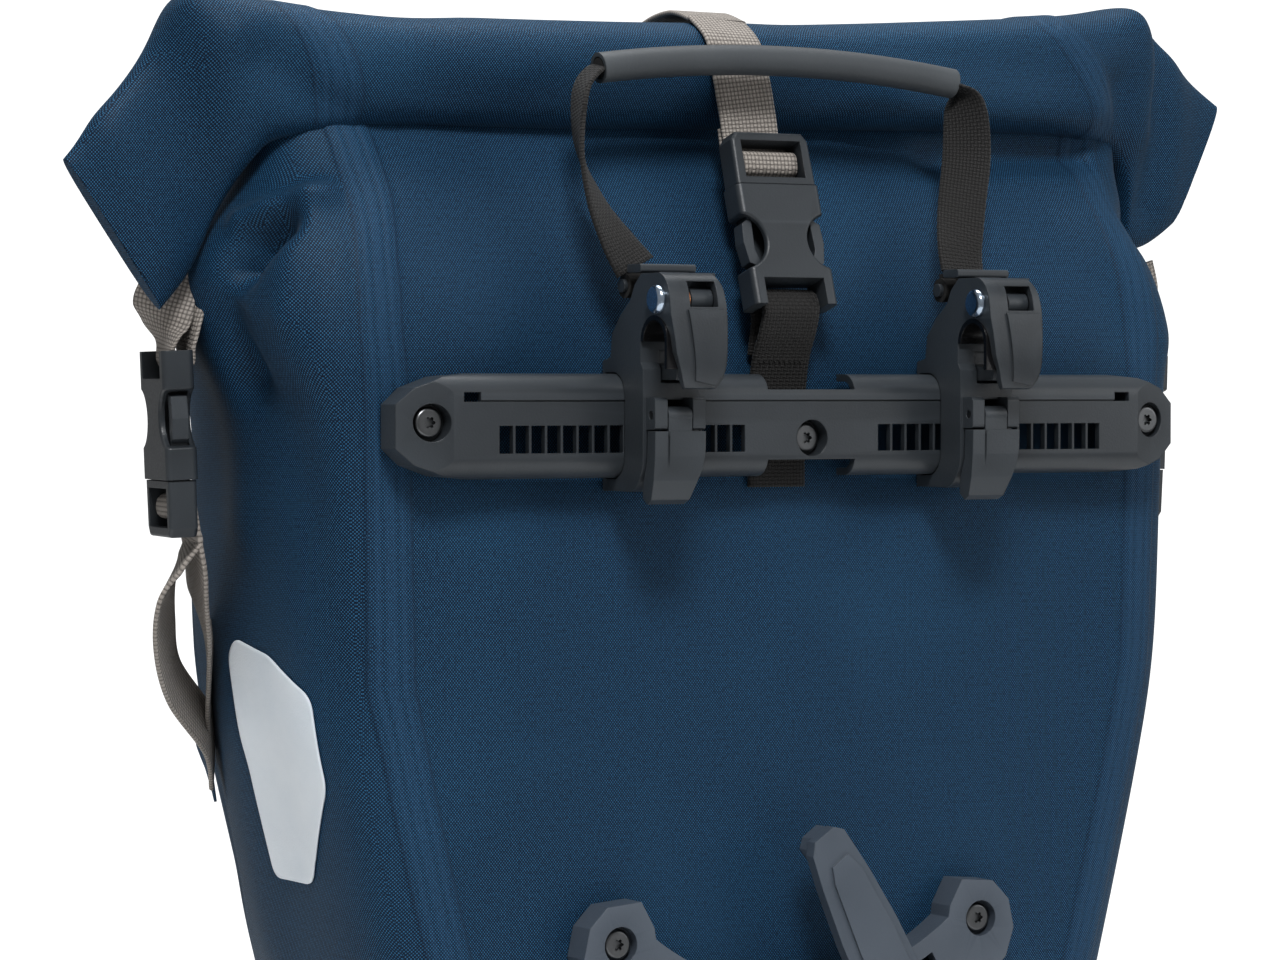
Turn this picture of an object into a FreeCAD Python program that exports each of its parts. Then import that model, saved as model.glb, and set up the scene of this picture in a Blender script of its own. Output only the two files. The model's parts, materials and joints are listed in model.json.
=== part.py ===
"""Roll-top bicycle pannier bag with a hook rail, a swivelling lower hook and three side-release buckles.

Units are millimetres. The origin is on the floor under the middle of the bag. +Z is up, the rack side of the
bag faces -Y, and +X is to the right of someone who looks at the rack side.
"""
import FreeCAD
import Part
import math
import os

os.makedirs("parts", exist_ok=True)
V = FreeCAD.Vector

# ---------------------------------------------------------------- driving dimensions
BACK_Y = -76.0          # flat of the back panel, where both rails are screwed on
FABRIC = 1.0            # wall of the coated fabric with its welded seams
WEB = 1.5               # thickness of all webbing
STRAP_W = 20.0          # width of the closing straps
HANDLE_W = 15.0         # width of the handle webbing
RUN_GAP = 0.35          # clearance between parts that slide on each other

RAIL_Z = 290.0          # middle of the hook rail
RAIL_FRONT = -90.0
RAIL_BACK = -79.5       # back edge of the channel; the hooks reach behind it
RAIL_HALF = 139.0
RAIL_TOP = 305.2
RAIL_BOTTOM = 274.5
RAIL_WALL = 2.2
RAIL_ROUND = 6.5        # radius along the top and bottom edges
SLOT_PITCH = 5.25
SLOT_W = 4.4
SLOT_Z = (282.0, 290.0)
SLOTS_PER_SIDE = 16
FIRST_SLOT = 26.0       # middle of the innermost slot
END_SCREW = (128.0, 291.0)
MID_SCREW = (0.0, 286.0)
HOLE_R = 2.1            # clearance hole of a 4 mm screw
RECESS_R = 5.5

HOOK_X = 56.0           # middle of each hook at rest
HOOK_HALF = 9.5
CARRIAGE_FRONT = -101.0
TUBE = (-107.2, 314.5)  # axis of the rack tube in the hook (y, z)
TUBE_R = 6.1
LINER = 1.5
PIN = (-110.0, 326.6)   # latch pivot (y, z)
PIN_R = 2.5
LOOP_BAR = (-88.0, 331.0)    # bar that the handle webbing pulls on
CLAMP_PIN = (-104.0, 293.0)

GRIP_X = 63.5
GRIP_Y = -71.5
GRIP_Z = 396.0
GRIP_RISE = 4.5
GRIP_R = 4.6

ROLL_Y = -33.0          # middle of the roll
ROLL_END_Y = -19.0      # plane of its flat ends
ARC_R = 95.7            # radius of the lower rail's track
ARC_Z = 207.2           # height of its centre
LUG_X = 64.5
LUG_Z = 136.5
LOW_FRONT = -86.5
FOOT_X = 26.0           # where the lower hook stands on its track

STRAP_X = -5.0
SIDE_X = 177.0          # middle of the side buckles


# ---------------------------------------------------------------- helpers
def box(x0, x1, y0, y1, z0, z1):
    return Part.makeBox(x1 - x0, y1 - y0, z1 - z0, V(x0, y0, z0))


def cyl_x(y, z, r, x0, x1):
    return Part.makeCylinder(r, x1 - x0, V(x0, y, z), V(1, 0, 0))


def cyl_y(x, z, r, y0, y1):
    return Part.makeCylinder(r, y1 - y0, V(x, y0, z), V(0, 1, 0))


def prism_x(outline, x0, x1):
    """Extrudes a (y, z) outline from x0 to x1."""
    points = [V(x0, y, z) for y, z in outline]
    return Part.Face(Part.makePolygon(points + points[:1])).extrude(V(x1 - x0, 0, 0))


def prism_y(outline, y0, y1):
    """Extrudes an (x, z) outline from y0 to y1."""
    points = [V(x, y0, z) for x, z in outline]
    return Part.Face(Part.makePolygon(points + points[:1])).extrude(V(0, y1 - y0, 0))


def fuse(shapes):
    return shapes[0].multiFuse(shapes[1:]).removeSplitter() if len(shapes) > 1 else shapes[0]


def round_edges(shape, radius, wanted):
    """Rounds the edges whose midpoint passes the test."""
    edges = []
    for e in shape.Edges:
        middle = e.valueAt((e.FirstParameter + e.LastParameter) / 2)
        if wanted(e, middle):
            edges.append(e)
    return shape.makeFillet(radius, edges)


def along(edge, axis):
    """True for a straight edge that runs along one of the axes."""
    if edge.Curve.TypeId != "Part::GeomLine":
        return False
    d = edge.Curve.Direction
    return abs((d.x, d.y, d.z)["xyz".index(axis)]) > 0.999


def strap(stations, thickness=WEB):
    """A webbing strip through stations (centre, width direction, width), with flat spans between them."""
    wires = []
    for i, (centre, across, width) in enumerate(stations):
        before = stations[max(i - 1, 0)][0]
        after = stations[min(i + 1, len(stations) - 1)][0]
        forward = (V(*after) - V(*before)).normalize()
        across = V(*across)
        across = (across - forward * across.dot(forward)).normalize()
        normal = forward.cross(across)
        a, b = across * (width / 2), normal * (thickness / 2)
        c = V(*centre)
        wires.append(Part.makePolygon([c + a + b, c - a + b, c - a - b, c + a - b, c + a + b]))
    ribbon = Part.makeLoft(wires, True, True)
    return ribbon if ribbon.Volume > 0 else ribbon.reversed()


def export(name, *solids):
    """Writes one node; several solids stay separate solids of one file."""
    shape = solids[0] if len(solids) == 1 else Part.makeCompound(list(solids))
    shape.exportStep("parts/" + name + ".step")


def mirrored(shape):
    return shape.mirror(V(0, 0, 0), V(1, 0, 0))


def moved(shape, x=0.0, y=0.0, z=0.0):
    shape = shape.copy()
    shape.translate(V(x, y, z))
    return shape


# ---------------------------------------------------------------- bag body: five welded fabric panels
# Height, half width, back and front of the filled bag at each level.
LEVELS = [
    (0.0, 99.0, -62.0, 62.0),
    (4.0, 104.0, -70.0, 71.0),
    (16.0, 107.0, -76.0, 80.0),
    (60.0, 116.5, -76.0, 86.0),
    (118.0, 131.0, -76.0, 89.0),
    (162.0, 142.0, -76.0, 90.0),
    (207.0, 152.5, -76.0, 89.0),
    (250.0, 153.5, -76.0, 87.0),
    (300.0, 152.5, -76.0, 80.0),
    (340.0, 151.0, -70.0, 60.0),
    (368.0, 156.0, -52.0, 20.0),
    (384.0, 160.0, -36.0, 2.0),
]
SEAM_IN = 21.0          # the welded seams lie this far in from the widest line


def section(z, half, back, front):
    """One level of the bag: a flat back, a soft ridge on each side and a bulging front."""
    deep = front - back
    right = [
        (half - 70, back), (half - 40, back), (half - 22, back + 0.5), (half - 7, back + min(10, 0.12 * deep)),
        (half, back + min(30, 0.3 * deep)), (half - 3, back + 0.55 * deep), (half - 9, back + 0.75 * deep),
        (half - 28, back + 0.9 * deep), (half - 70, back + 0.98 * deep),
    ]
    points = [(0, back)] + right + [(0, front)] + [(-x, y) for x, y in reversed(right)]
    curve = Part.BSplineCurve()
    curve.interpolate(Points=[V(x, y, z) for x, y in points], PeriodicFlag=True)
    return Part.Wire(curve.toShape())


def bag_form(grow, low=0.0, high=0.0):
    """The filled bag's form, grown outwards, with its floor raised by low and its mouth by high."""
    wires = []
    for i, (z, half, back, front) in enumerate(LEVELS):
        level = z + low if i == 0 else z + low * (1 - i / 3) if i < 3 else z
        level = level + high if i == len(LEVELS) - 1 else level
        wires.append(section(level, half + grow, back - grow, front + grow))
    return Part.makeLoft(wires, True, False)


outer = bag_form(0.0)
inner = bag_form(-FABRIC, low=FABRIC, high=6.0)
shell = outer.cut(inner)

FLOOR_SEAM_Z = 12.0
half_seam = [(z, half - SEAM_IN) for z, half, back, front in LEVELS if z >= 60.0]
half_seam = [(FLOOR_SEAM_Z, 106.0 - SEAM_IN)] + half_seam[:-1] + [(400.0, half_seam[-1][1])]
seam_outline = [(x, z) for z, x in half_seam] + [(-x, z) for z, x in reversed(half_seam)]
SPLIT_Y = -20.0

bottom_panel = shell.common(box(-200, 200, -120, 120, -5, FLOOR_SEAM_Z))
upper_shell = shell.common(box(-200, 200, -120, 120, FLOOR_SEAM_Z, 400))
back_zone = prism_y(seam_outline, -120, SPLIT_Y)
front_zone = prism_y(seam_outline, SPLIT_Y, 120)
back_panel = upper_shell.common(back_zone)
front_panel = upper_shell.common(front_zone)
gussets = upper_shell.cut(back_zone).cut(front_zone)
gusset_left = gussets.common(box(-200, 0, -120, 120, -5, 400))
gusset_right = gussets.common(box(0, 200, -120, 120, -5, 400))

# ---------------------------------------------------------------- rolled closure with its drooping ends
ROLL_LOW, ROLL_HIGH, ROLL_HALF_DEEP = 380.0, 418.5, 23.5
END_OUTLINE = [(150, 416), (174, 413), (212, 366), (173, 326), (158, 369), (150, 384)]
END_THICK = 14.0

roll_profile = [
    (ROLL_Y + ROLL_HALF_DEEP * math.cos(t * math.pi / 8),
     (ROLL_LOW + ROLL_HIGH) / 2 + (ROLL_HIGH - ROLL_LOW) / 2 * math.sin(t * math.pi / 8))
    for t in range(16)
]
roll = prism_x(roll_profile, -168, 168)
roll_end = prism_y(END_OUTLINE, ROLL_END_Y - END_THICK / 2, ROLL_END_Y + END_THICK / 2)
roll = fuse([roll, roll_end, mirrored(roll_end)])
batten = box(-150, 150, ROLL_Y - 1, ROLL_Y + 1, 388, 411)
roll = roll.cut(outer).cut(batten)

# ---------------------------------------------------------------- stiffener board inside the back
board = round_edges(box(-84, 84, BACK_Y + FABRIC + 0.5, BACK_Y + FABRIC + 2.5, 40, 304), 12,
                    lambda e, m: along(e, "y"))
board = board.common(bag_form(-FABRIC - 0.3))

# ---------------------------------------------------------------- reflective side patches and strap patches
PATCH_OUTLINE = [(-8, 226), (-1.5, 220.5), (-10.5, 189), (-10.5, 153.7), (-34.7, 153.7), (-52.4, 183.7),
                 (-50.6, 210), (-32.3, 220.6)]
film = bag_form(0.7)
patch_form = bag_form(1.6)
reflector_right = film.common(prism_x(PATCH_OUTLINE, 100, 200)).cut(outer)

SIDE_ANCHOR = (22.0, 48.0, 182.0, 212.0)     # y and z limits of the patch that holds the side strap
anchor_right = patch_form.common(box(100, 200, *SIDE_ANCHOR)).cut(outer)
front_anchor = patch_form.common(box(STRAP_X - 16, STRAP_X + 16, 40, 120, 296, 330)).cut(outer)


# ---------------------------------------------------------------- hook rail
def channel_face(grow, x):
    """Section of the hook rail's channel with its rounded front edges, grown outwards."""
    y0, y1 = RAIL_FRONT - grow, RAIL_BACK + grow
    z0, z1 = RAIL_BOTTOM - grow, RAIL_TOP + grow
    r = RAIL_ROUND + grow
    k = r * (1 - math.cos(math.pi / 4))
    a, b, c, d = V(x, y1, z0), V(x, y0 + r, z0), V(x, y0, z0 + r), V(x, y0, z1 - r)
    e, f = V(x, y0 + r, z1), V(x, y1, z1)
    edges = [
        Part.makeLine(a, b), Part.Arc(b, V(x, y0 + k, z0 + k), c).toShape(), Part.makeLine(c, d),
        Part.Arc(d, V(x, y0 + k, z1 - k), e).toShape(), Part.makeLine(e, f), Part.makeLine(f, a),
    ]
    return Part.Face(Part.Wire(edges))


def channel(grow, x0, x1):
    return channel_face(grow, x0).extrude(V(x1 - x0, 0, 0))


def screw_recess(x, z, front, seat):
    """The sunk round seat and the through hole for one rail screw."""
    return fuse([cyl_y(x, z, RECESS_R, front - 5, seat), cyl_y(x, z, HOLE_R, front - 5, BACK_Y + 5)])


def slot_centres(side):
    return [side * (FIRST_SLOT + i * SLOT_PITCH) for i in range(SLOTS_PER_SIDE)]


END_SOLID = 119.0       # from here outwards the rail is solid down to the fabric
SEAT_Y = RAIL_FRONT + 5.5
BOSS_HALF = 5.4         # half width of the boss under the middle screw
NOTCH_HALF = 15.5

rail = channel(0, -RAIL_HALF, RAIL_HALF)
ends = [channel(0, END_SOLID, RAIL_HALF), box(END_SOLID, RAIL_HALF, RAIL_BACK, BACK_Y - 0.3, RAIL_BOTTOM, RAIL_TOP)]
hollow = channel(-RAIL_WALL, -END_SOLID, END_SOLID).fuse(
    box(-END_SOLID, END_SOLID, RAIL_BACK - RAIL_WALL - 1, RAIL_BACK + 1, RAIL_BOTTOM + RAIL_WALL,
        RAIL_TOP - RAIL_WALL))
rail = rail.cut(hollow)
rail = fuse([rail] + ends + [mirrored(e) for e in ends])
boss = cyl_y(MID_SCREW[0], MID_SCREW[1], RECESS_R + 1.8, RAIL_FRONT + 1, RAIL_BACK)
rail = rail.fuse(boss)
end_trim = [(RAIL_HALF + 1, 260), (RAIL_HALF + 1, 320), (112, 320), (112, RAIL_TOP + 0.2), (124, RAIL_TOP - 1),
            (133, RAIL_TOP - 4.2), (RAIL_HALF - 0.6, RAIL_TOP - 9), (RAIL_HALF - 0.6, RAIL_BOTTOM + 9),
            (133, RAIL_BOTTOM + 4.2), (124, RAIL_BOTTOM + 1), (112, RAIL_BOTTOM - 0.2), (112, 260)]
end_cut = prism_y(end_trim, -100, -70)
face_slope = [(RAIL_FRONT - 1, 118.0), (RAIL_FRONT + 4.5, RAIL_HALF + 0.1), (RAIL_FRONT - 1, RAIL_HALF + 0.1)]
slope_points = [V(x, y, 260) for y, x in face_slope]
slope_cut = Part.Face(Part.makePolygon(slope_points + slope_points[:1])).extrude(V(0, 0, 60))
rail = rail.cut(fuse([end_cut, slope_cut])).cut(fuse([mirrored(end_cut), mirrored(slope_cut)]))
for x, z in ((-END_SCREW[0], END_SCREW[1]), MID_SCREW, END_SCREW):
    rail = rail.cut(screw_recess(x, z, RAIL_FRONT, SEAT_Y))
notches = [box(-NOTCH_HALF, NOTCH_HALF, RAIL_FRONT - 1, RAIL_BACK + 1, RAIL_TOP - 4.6, RAIL_TOP + 1),
           box(-NOTCH_HALF, NOTCH_HALF, RAIL_FRONT - 1, RAIL_BACK + 1, RAIL_BOTTOM - 1, RAIL_BOTTOM + 5)]
for x in slot_centres(1) + slot_centres(-1):
    notches.append(box(x - SLOT_W / 2, x + SLOT_W / 2, RAIL_FRONT - 1, RAIL_FRONT + 4, *SLOT_Z))
for side in (-1, 1):
    low, high = sorted((side * 113.0, side * 118.5))
    notches.append(box(low, high, RAIL_FRONT - 1, RAIL_FRONT + 4, 297.0, 299.7))
GROOVE = 0.5
notches.append(box(-113, 113, RAIL_FRONT - 1, RAIL_FRONT + GROOVE, 297.0, 297.4))
rail = rail.cut(Part.makeCompound(notches))


def screw(x, z, seat, length, head_r=4.6, head_h=2.4):
    """A pan head screw with a six-lobe socket, driven towards +Y."""
    head = Part.makeCylinder(head_r, head_h, V(x, seat - head_h, z), V(0, 1, 0))
    head = round_edges(head, 1.2, lambda e, m: m.y < seat - head_h + 0.01)
    socket = [cyl_y(x, z, 1.25, seat - head_h - 1, seat - 1.0)]
    for k in range(6):
        a = math.radians(60 * k)
        socket.append(cyl_y(x + 1.3 * math.cos(a), z + 1.3 * math.sin(a), 0.5, seat - head_h - 1, seat - 1.0))
    return head.fuse(cyl_y(x, z, 1.95, seat - 0.1, seat + length)).removeSplitter().cut(fuse(socket))


def nut_plate(x, z, y0):
    """A round threaded plate on the inside of the stiffener board."""
    return cyl_y(x, z, 7.0, y0, y0 + 3.0).cut(cyl_y(x, z, 2.0, y0 - 1, y0 + 4))


NUT_Y = BACK_Y + FABRIC + 2.7
rail_screw_places = [(-END_SCREW[0], END_SCREW[1]), MID_SCREW, END_SCREW]
low_screw_places = [(-LUG_X, LUG_Z), (LUG_X, LUG_Z)]
LOW_SEAT = LOW_FRONT + 4.0
all_holes = fuse([cyl_y(x, z, HOLE_R, -100, -60) for x, z in rail_screw_places + low_screw_places])
clear_form = bag_form(0.25)
rail = rail.cut(clear_form)
back_panel = back_panel.cut(all_holes)
board = board.cut(all_holes)
rail_screws = [screw(x, z, SEAT_Y, NUT_Y + 3.0 - SEAT_Y) for x, z in rail_screw_places]
rail_nuts = [nut_plate(x, z, NUT_Y) for x, z in rail_screw_places]
low_screws = [screw(x, z, LOW_SEAT, NUT_Y + 3.0 - LOW_SEAT) for x, z in low_screw_places]
low_nuts = [nut_plate(x, z, NUT_Y) for x, z in low_screw_places]


# ---------------------------------------------------------------- one rack hook, built round x = 0
CHEEK_LEFT = -3.4       # the latch works between these two cheeks
CHEEK_RIGHT = 7.2
HOOK_TOP = 334.4

# Side outline of the hook: up its back, over the top, down its bowed front and round the tube's throat.
hook_back = [(-77.4, 301.0), (-77.4, 309.0), (-82.0, 310.0), (-83.0, 317.0), (-88.0, 322.5), (-93.6, 326.6),
             (-96.0, 331.0), (-100.0, HOOK_TOP), (-110.0, HOOK_TOP)]
hook_front = [(-110.0, HOOK_TOP), (-114.4, 331.6), (-116.6, 325.0), (-117.3, 316.0), (-116.6, 307.0),
              (-114.8, 301.0)]
hook_throat = [(-114.8, 301.0), (-113.0, 300.6), (-113.3, 304.0), (-113.3 - LINER, 306.0),
               (-113.3 - LINER, TUBE[1]), (-101.1 + LINER, TUBE[1]), (-101.1 + LINER, 308.5),
               (CARRIAGE_FRONT, 306.5), (CARRIAGE_FRONT, 281.0)]
hook_foot = [(CARRIAGE_FRONT, 281.0), (-99.8, 275.6), (-96.4, 271.8), (-91.0, 270.6)]
hook_under = [(-91.0, 270.6), (-77.4, 270.6), (-77.4, 278.0), (-79.15, 278.0), (-79.15, 301.0), (-77.4, 301.0)]


def straight(points):
    return [Part.makeLine(V(0, *a), V(0, *b)) for a, b in zip(points, points[1:])]


def bowed(points, out=0.0):
    curve = Part.BSplineCurve()
    curve.interpolate([V(0, y - out, z) for y, z in points])
    return [curve.toShape()]


hook_edges = straight(hook_back) + bowed(hook_front) + straight(hook_throat) + bowed(hook_foot)
hook_side = Part.Face(Part.Wire(hook_edges + straight(hook_under)))
hook_side.translate(V(-HOOK_HALF, 0, 0))
hook = hook_side.extrude(V(2 * HOOK_HALF, 0, 0))

# The front plate is shaped like a tongue, with a raised panel on its right half.
tongue_left = [(-12.0, 336.0), (-9.6, 334.5), (-9.5, 322.0), (-7.6, 311.0), (-4.6, 303.0), (-3.2, 300.2), (-12.0, 300.2)]
tongue_right = [(12.0, 336.0), (7.6, 334.5), (9.0, 330.0), (9.6, 324.0), (9.6, 308.5), (8.8, 303.4), (6.6, 300.2),
                (12.0, 300.2)]
hook = hook.cut(prism_y(tongue_left, -120, TUBE[0] - 3)).cut(prism_y(tongue_right, -120, TUBE[0] - 3))
panel_back = [(-115.5, 301.0), (-115.2, 301.0), (-115.2, 326.0), (-109.0, HOOK_TOP), (-110.7, HOOK_TOP)]
panel_side = Part.Face(Part.Wire(bowed(hook_front, 0.7) + straight(panel_back)))
panel_side.translate(V(-12, 0, 0))
panel = panel_side.extrude(V(24, 0, 0)).common(
    prism_y([(-3.8, 323.6), (8.4, 323.6), (9.0, 316.0), (8.8, 306.0), (6.4, 301.6), (-0.6, 303.0)], -120, -111))
hook = hook.fuse(panel)

arch = cyl_x(TUBE[0], TUBE[1], TUBE_R + LINER, -HOOK_HALF - 2, HOOK_HALF + 2)
hook = hook.cut(arch)
hook = hook.cut(channel(RUN_GAP, -HOOK_HALF, HOOK_HALF))
latch_room = prism_x([(-98.9, 302.5), (-98.9, 319.2), (-102.4, 323.4), (-103.0, 332.6), (-103.4, 340.0),
                      (-84.0, 340.0), (-84.0, 302.5)], CHEEK_LEFT, CHEEK_RIGHT)
knuckle_room = fuse([cyl_x(PIN[0], PIN[1], 4.1, CHEEK_LEFT, CHEEK_RIGHT),
                     box(CHEEK_LEFT, CHEEK_RIGHT, PIN[0], -102.0, 323.0, 332.6)])
front_window = box(CHEEK_LEFT + 0.6, CHEEK_RIGHT - 0.6, -120.0, PIN[0], 324.4, 331.8)
nose_room = box(CHEEK_LEFT, CHEEK_RIGHT, -102.0, -84.0, 302.5, 312.0)
hook = hook.cut(fuse([latch_room, knuckle_room, nose_room])).cut(front_window)
hook = hook.cut(cyl_x(PIN[0], PIN[1], PIN_R + 0.05, -HOOK_HALF - 1, HOOK_HALF + 1))
clamp_room = fuse([box(-4.6, 4.6, -103.0, RAIL_FRONT - RUN_GAP + 0.1, 268.0, 297.5),
                   cyl_x(CLAMP_PIN[0], CLAMP_PIN[1], 4.8, -4.4, 4.4)])
lug_left = box(-8.6, -4.3, -106.4, CARRIAGE_FRONT + 0.5, 288.8, 298.2)
lug_right = box(4.3, 8.6, -106.4, CARRIAGE_FRONT + 0.5, 288.8, 298.2)
lugs = [round_edges(lug, 1.2, lambda e, m: along(e, "x") and m.y < -106.0) for lug in (lug_left, lug_right)]
hook = fuse([hook.cut(clamp_room)] + lugs)
hook = hook.cut(cyl_x(CLAMP_PIN[0], CLAMP_PIN[1], 1.25, -20, 20))

liner = cyl_x(TUBE[0], TUBE[1], TUBE_R + LINER, -HOOK_HALF, HOOK_HALF)
liner = liner.cut(cyl_x(TUBE[0], TUBE[1], TUBE_R, -20, 20))
liner = liner.common(box(-20, 20, -130, -90, TUBE[1], 340))
liner = liner.fuse(box(-HOOK_HALF, HOOK_HALF, -113.3 - LINER + 0.02, -113.3, 306.4, TUBE[1])).removeSplitter()

# Latch: a knuckle on the pin, an arm over and behind the tube with a nose under it, and the bar at its back.
knuckle = cyl_x(PIN[0], PIN[1], 3.6, -0.4, CHEEK_RIGHT - 0.4)
latch_arm = prism_x([(-110.0, 329.7), (-103.0, 330.0), (-92.0, 332.4), (-88.4, 333.6), (-85.6, 332.4), (-85.7, 329.6),
                     (-88.6, 327.9), (-91.8, 326.2), (-93.4, 321.0), (-93.4, 308.0), (-96.8, 303.2), (-108.6, 303.4),
                     (-109.6, 306.3), (-98.4, 308.2), (-98.4, 319.0), (-101.6, 323.6), (-110.0, 323.5)],
                    CHEEK_LEFT + 0.5, CHEEK_RIGHT - 0.4)
latch_arm = latch_arm.cut(cyl_x(PIN[0], PIN[1], 4.6, CHEEK_LEFT, -0.4))
loop_bar = cyl_x(LOOP_BAR[0], LOOP_BAR[1], 2.0, -9.4, 9.4)
latch_plate = round_edges(box(-9.4, 9.4, -99.5, -91.5, HOOK_TOP + 0.3, 337.2), 0.8, lambda e, m: along(e, "x"))
latch_stem = box(CHEEK_LEFT + 0.5, CHEEK_RIGHT - 0.4, -99.3, -91.7, 331.4, HOOK_TOP + 0.5)
latch = fuse([knuckle, latch_arm, loop_bar, latch_plate, latch_stem])
latch = latch.cut(cyl_x(PIN[0], PIN[1], PIN_R + 0.08, -20, 20))

pin_head = Part.makeCylinder(4.4, 2.2, V(-HOOK_HALF - 2.3, PIN[0], PIN[1]), V(1, 0, 0))
pin_head = round_edges(pin_head, 1.7, lambda e, m: m.x < -HOOK_HALF - 2.2)
pin = fuse([pin_head, cyl_x(PIN[0], PIN[1], PIN_R, -HOOK_HALF - 1.0, HOOK_HALF + 0.6),
            cyl_x(PIN[0], PIN[1], 3.6, HOOK_HALF + 0.1, HOOK_HALF + 1.3)])

SPRING_WIRE = 0.4
helix = Part.makeHelix(1.0, 2.0, 3.35)
ring = Part.Wire(Part.makeCircle(SPRING_WIRE, V(3.35, 0, 0), V(0, 1, 0)))
spring = Part.Wire(helix.Edges).makePipeShell([ring], True, True)
spring.rotate(V(0, 0, 0), V(0, 1, 0), 90)
spring.translate(V(CHEEK_LEFT + 0.5, PIN[0], PIN[1]))

clamp_outline = [(-102.2, 288.4), (-101.8, 280.0), (-99.6, 273.2), (-99.4, 268.8), (-102.0, 267.0),
                 (-104.2, 268.4), (-105.6, 274.0), (-106.4, 281.0), (-106.6, 288.4)]
clamp_plate = prism_x(clamp_outline, -8.6, 8.6)
clamp_knuckle = fuse([cyl_x(CLAMP_PIN[0], CLAMP_PIN[1], 2.6, -4.0, 4.0),
                      box(-4.0, 4.0, -106.4, -102.4, 287.0, 293.0)])
clamp_pad = box(-4.0, 4.0, -102.4, RAIL_FRONT - 0.7, 280.5, 286.5)
pad_trim = prism_x([(-96.0, 280.4), (-90.0, 280.4), (-90.0, 283.8)], -5, 5)
tip_side = [(8.7, 284.0), (8.0, 278.0), (3.4, 266.0), (12.0, 266.0), (12.0, 284.0)]
groove = [(-4.2, 289.0), (-3.6, 289.0), (-3.6, 276.0), (-4.6, 270.0), (-5.2, 270.0), (-4.2, 276.0)]
clamp_plate = clamp_plate.cut(prism_y(tip_side, -110, -90)).cut(prism_y(groove, -110, -106.0))
clamp = fuse([clamp_plate, clamp_knuckle, clamp_pad.cut(pad_trim)])
clamp = clamp.cut(cyl_x(CLAMP_PIN[0], CLAMP_PIN[1], 1.28, -20, 20))
clamp_pin = cyl_x(CLAMP_PIN[0], CLAMP_PIN[1], 1.2, -8.4, 8.4)

# The webbing is looped round the bar on both sides of the latch arm.
loops = []
for low, high in ((-8.2, CHEEK_LEFT + 0.2), (CHEEK_RIGHT - 0.1, 8.3)):
    turn = cyl_x(LOOP_BAR[0], LOOP_BAR[1], 2.15 + WEB, low, high)
    loops.append(turn.cut(cyl_x(LOOP_BAR[0], LOOP_BAR[1], 2.15, -30, 30)))
strap_root = box(-7.5, 7.5, LOOP_BAR[0] - 0.2, LOOP_BAR[0] + 1.3, LOOP_BAR[1] + 3.0, LOOP_BAR[1] + 5.0)
loop = fuse(loops + [strap_root])

# ---------------------------------------------------------------- carrying handle
grip_path = Part.Arc(V(-GRIP_X, GRIP_Y, GRIP_Z), V(0, GRIP_Y, GRIP_Z + GRIP_RISE), V(GRIP_X, GRIP_Y, GRIP_Z))
grip_wire = Part.Wire([grip_path.toShape()])
start_dir = grip_path.toShape().tangentAt(grip_path.toShape().FirstParameter)


def along_grip(radius):
    circle = Part.Wire(Part.makeCircle(radius, V(-GRIP_X, GRIP_Y, GRIP_Z), start_dir))
    return grip_wire.makePipeShell([circle], True, True)


grip = along_grip(GRIP_R).cut(along_grip(GRIP_R - 1.3))
grip_core = along_grip(GRIP_R - 1.6)


def leg(side, hook_x):
    """One end of the handle webbing, from the grip down to the latch bar."""
    top = (side * (GRIP_X + 1.6), GRIP_Y - 0.3, GRIP_Z - 1.0)
    upper = (side * (GRIP_X + 6.0), GRIP_Y - 2.0, GRIP_Z - 14.0)
    middle = (side * (GRIP_X + 5.0), -80.0, 366.0)
    low = (hook_x + side * 3.0, LOOP_BAR[0] + 0.6, 346.0)
    foot = (hook_x + side * 0.5, LOOP_BAR[0] + 0.6, LOOP_BAR[1] + 7.6)
    return strap([(top, (0, 1, 0.2), 7.0), (upper, (0.3 * side, 1, 0), 12.0), (middle, (1, -0.5 * side, 0), HANDLE_W),
                  (low, (1, 0, 0), HANDLE_W), (foot, (1, 0, 0), HANDLE_W - 1)])


# ---------------------------------------------------------------- lower rail with its swivelling hook
LOW_WALL = 4.0
BAND = 8.5              # half width of the curved band
TRACK = 3.2             # half width of its slot
TRACK_DEG = 30.0
BAND_DEG = 38.0


def arc_band(half_width, y0, y1, degrees):
    """A curved band round the track's centre, symmetric about its lowest point."""
    ring = Part.makeCylinder(ARC_R + half_width, y1 - y0, V(0, y0, ARC_Z), V(0, 1, 0))
    ring = ring.cut(Part.makeCylinder(ARC_R - half_width, y1 - y0, V(0, y0, ARC_Z), V(0, 1, 0)))
    reach = 2 * ARC_R
    a = math.radians(degrees)
    wedge = prism_y([(0, ARC_Z), (reach * math.sin(a), ARC_Z - reach * math.cos(a)),
                     (-reach * math.sin(a), ARC_Z - reach * math.cos(a))], y0, y1)
    return ring.common(wedge)


lug_outline = [(50, 122), (53, 141), (57.5, 149), (69, 148), (75, 142), (77, 133), (74, 124), (66, 117)]
lug = prism_y(lug_outline, LOW_FRONT, BACK_Y - 0.3)
low_rail = fuse([arc_band(BAND, LOW_FRONT, BACK_Y - 0.3, BAND_DEG), lug, mirrored(lug)])
low_rail = low_rail.cut(arc_band(TRACK, LOW_FRONT - 1, BACK_Y + 1, TRACK_DEG))
low_rail = low_rail.cut(arc_band(BAND - 2.2, LOW_FRONT + LOW_WALL, BACK_Y + 1, TRACK_DEG + 2))
for x, z in low_screw_places:
    low_rail = low_rail.cut(screw_recess(x, z, LOW_FRONT, LOW_SEAT))

low_rail = low_rail.cut(clear_form)

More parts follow.
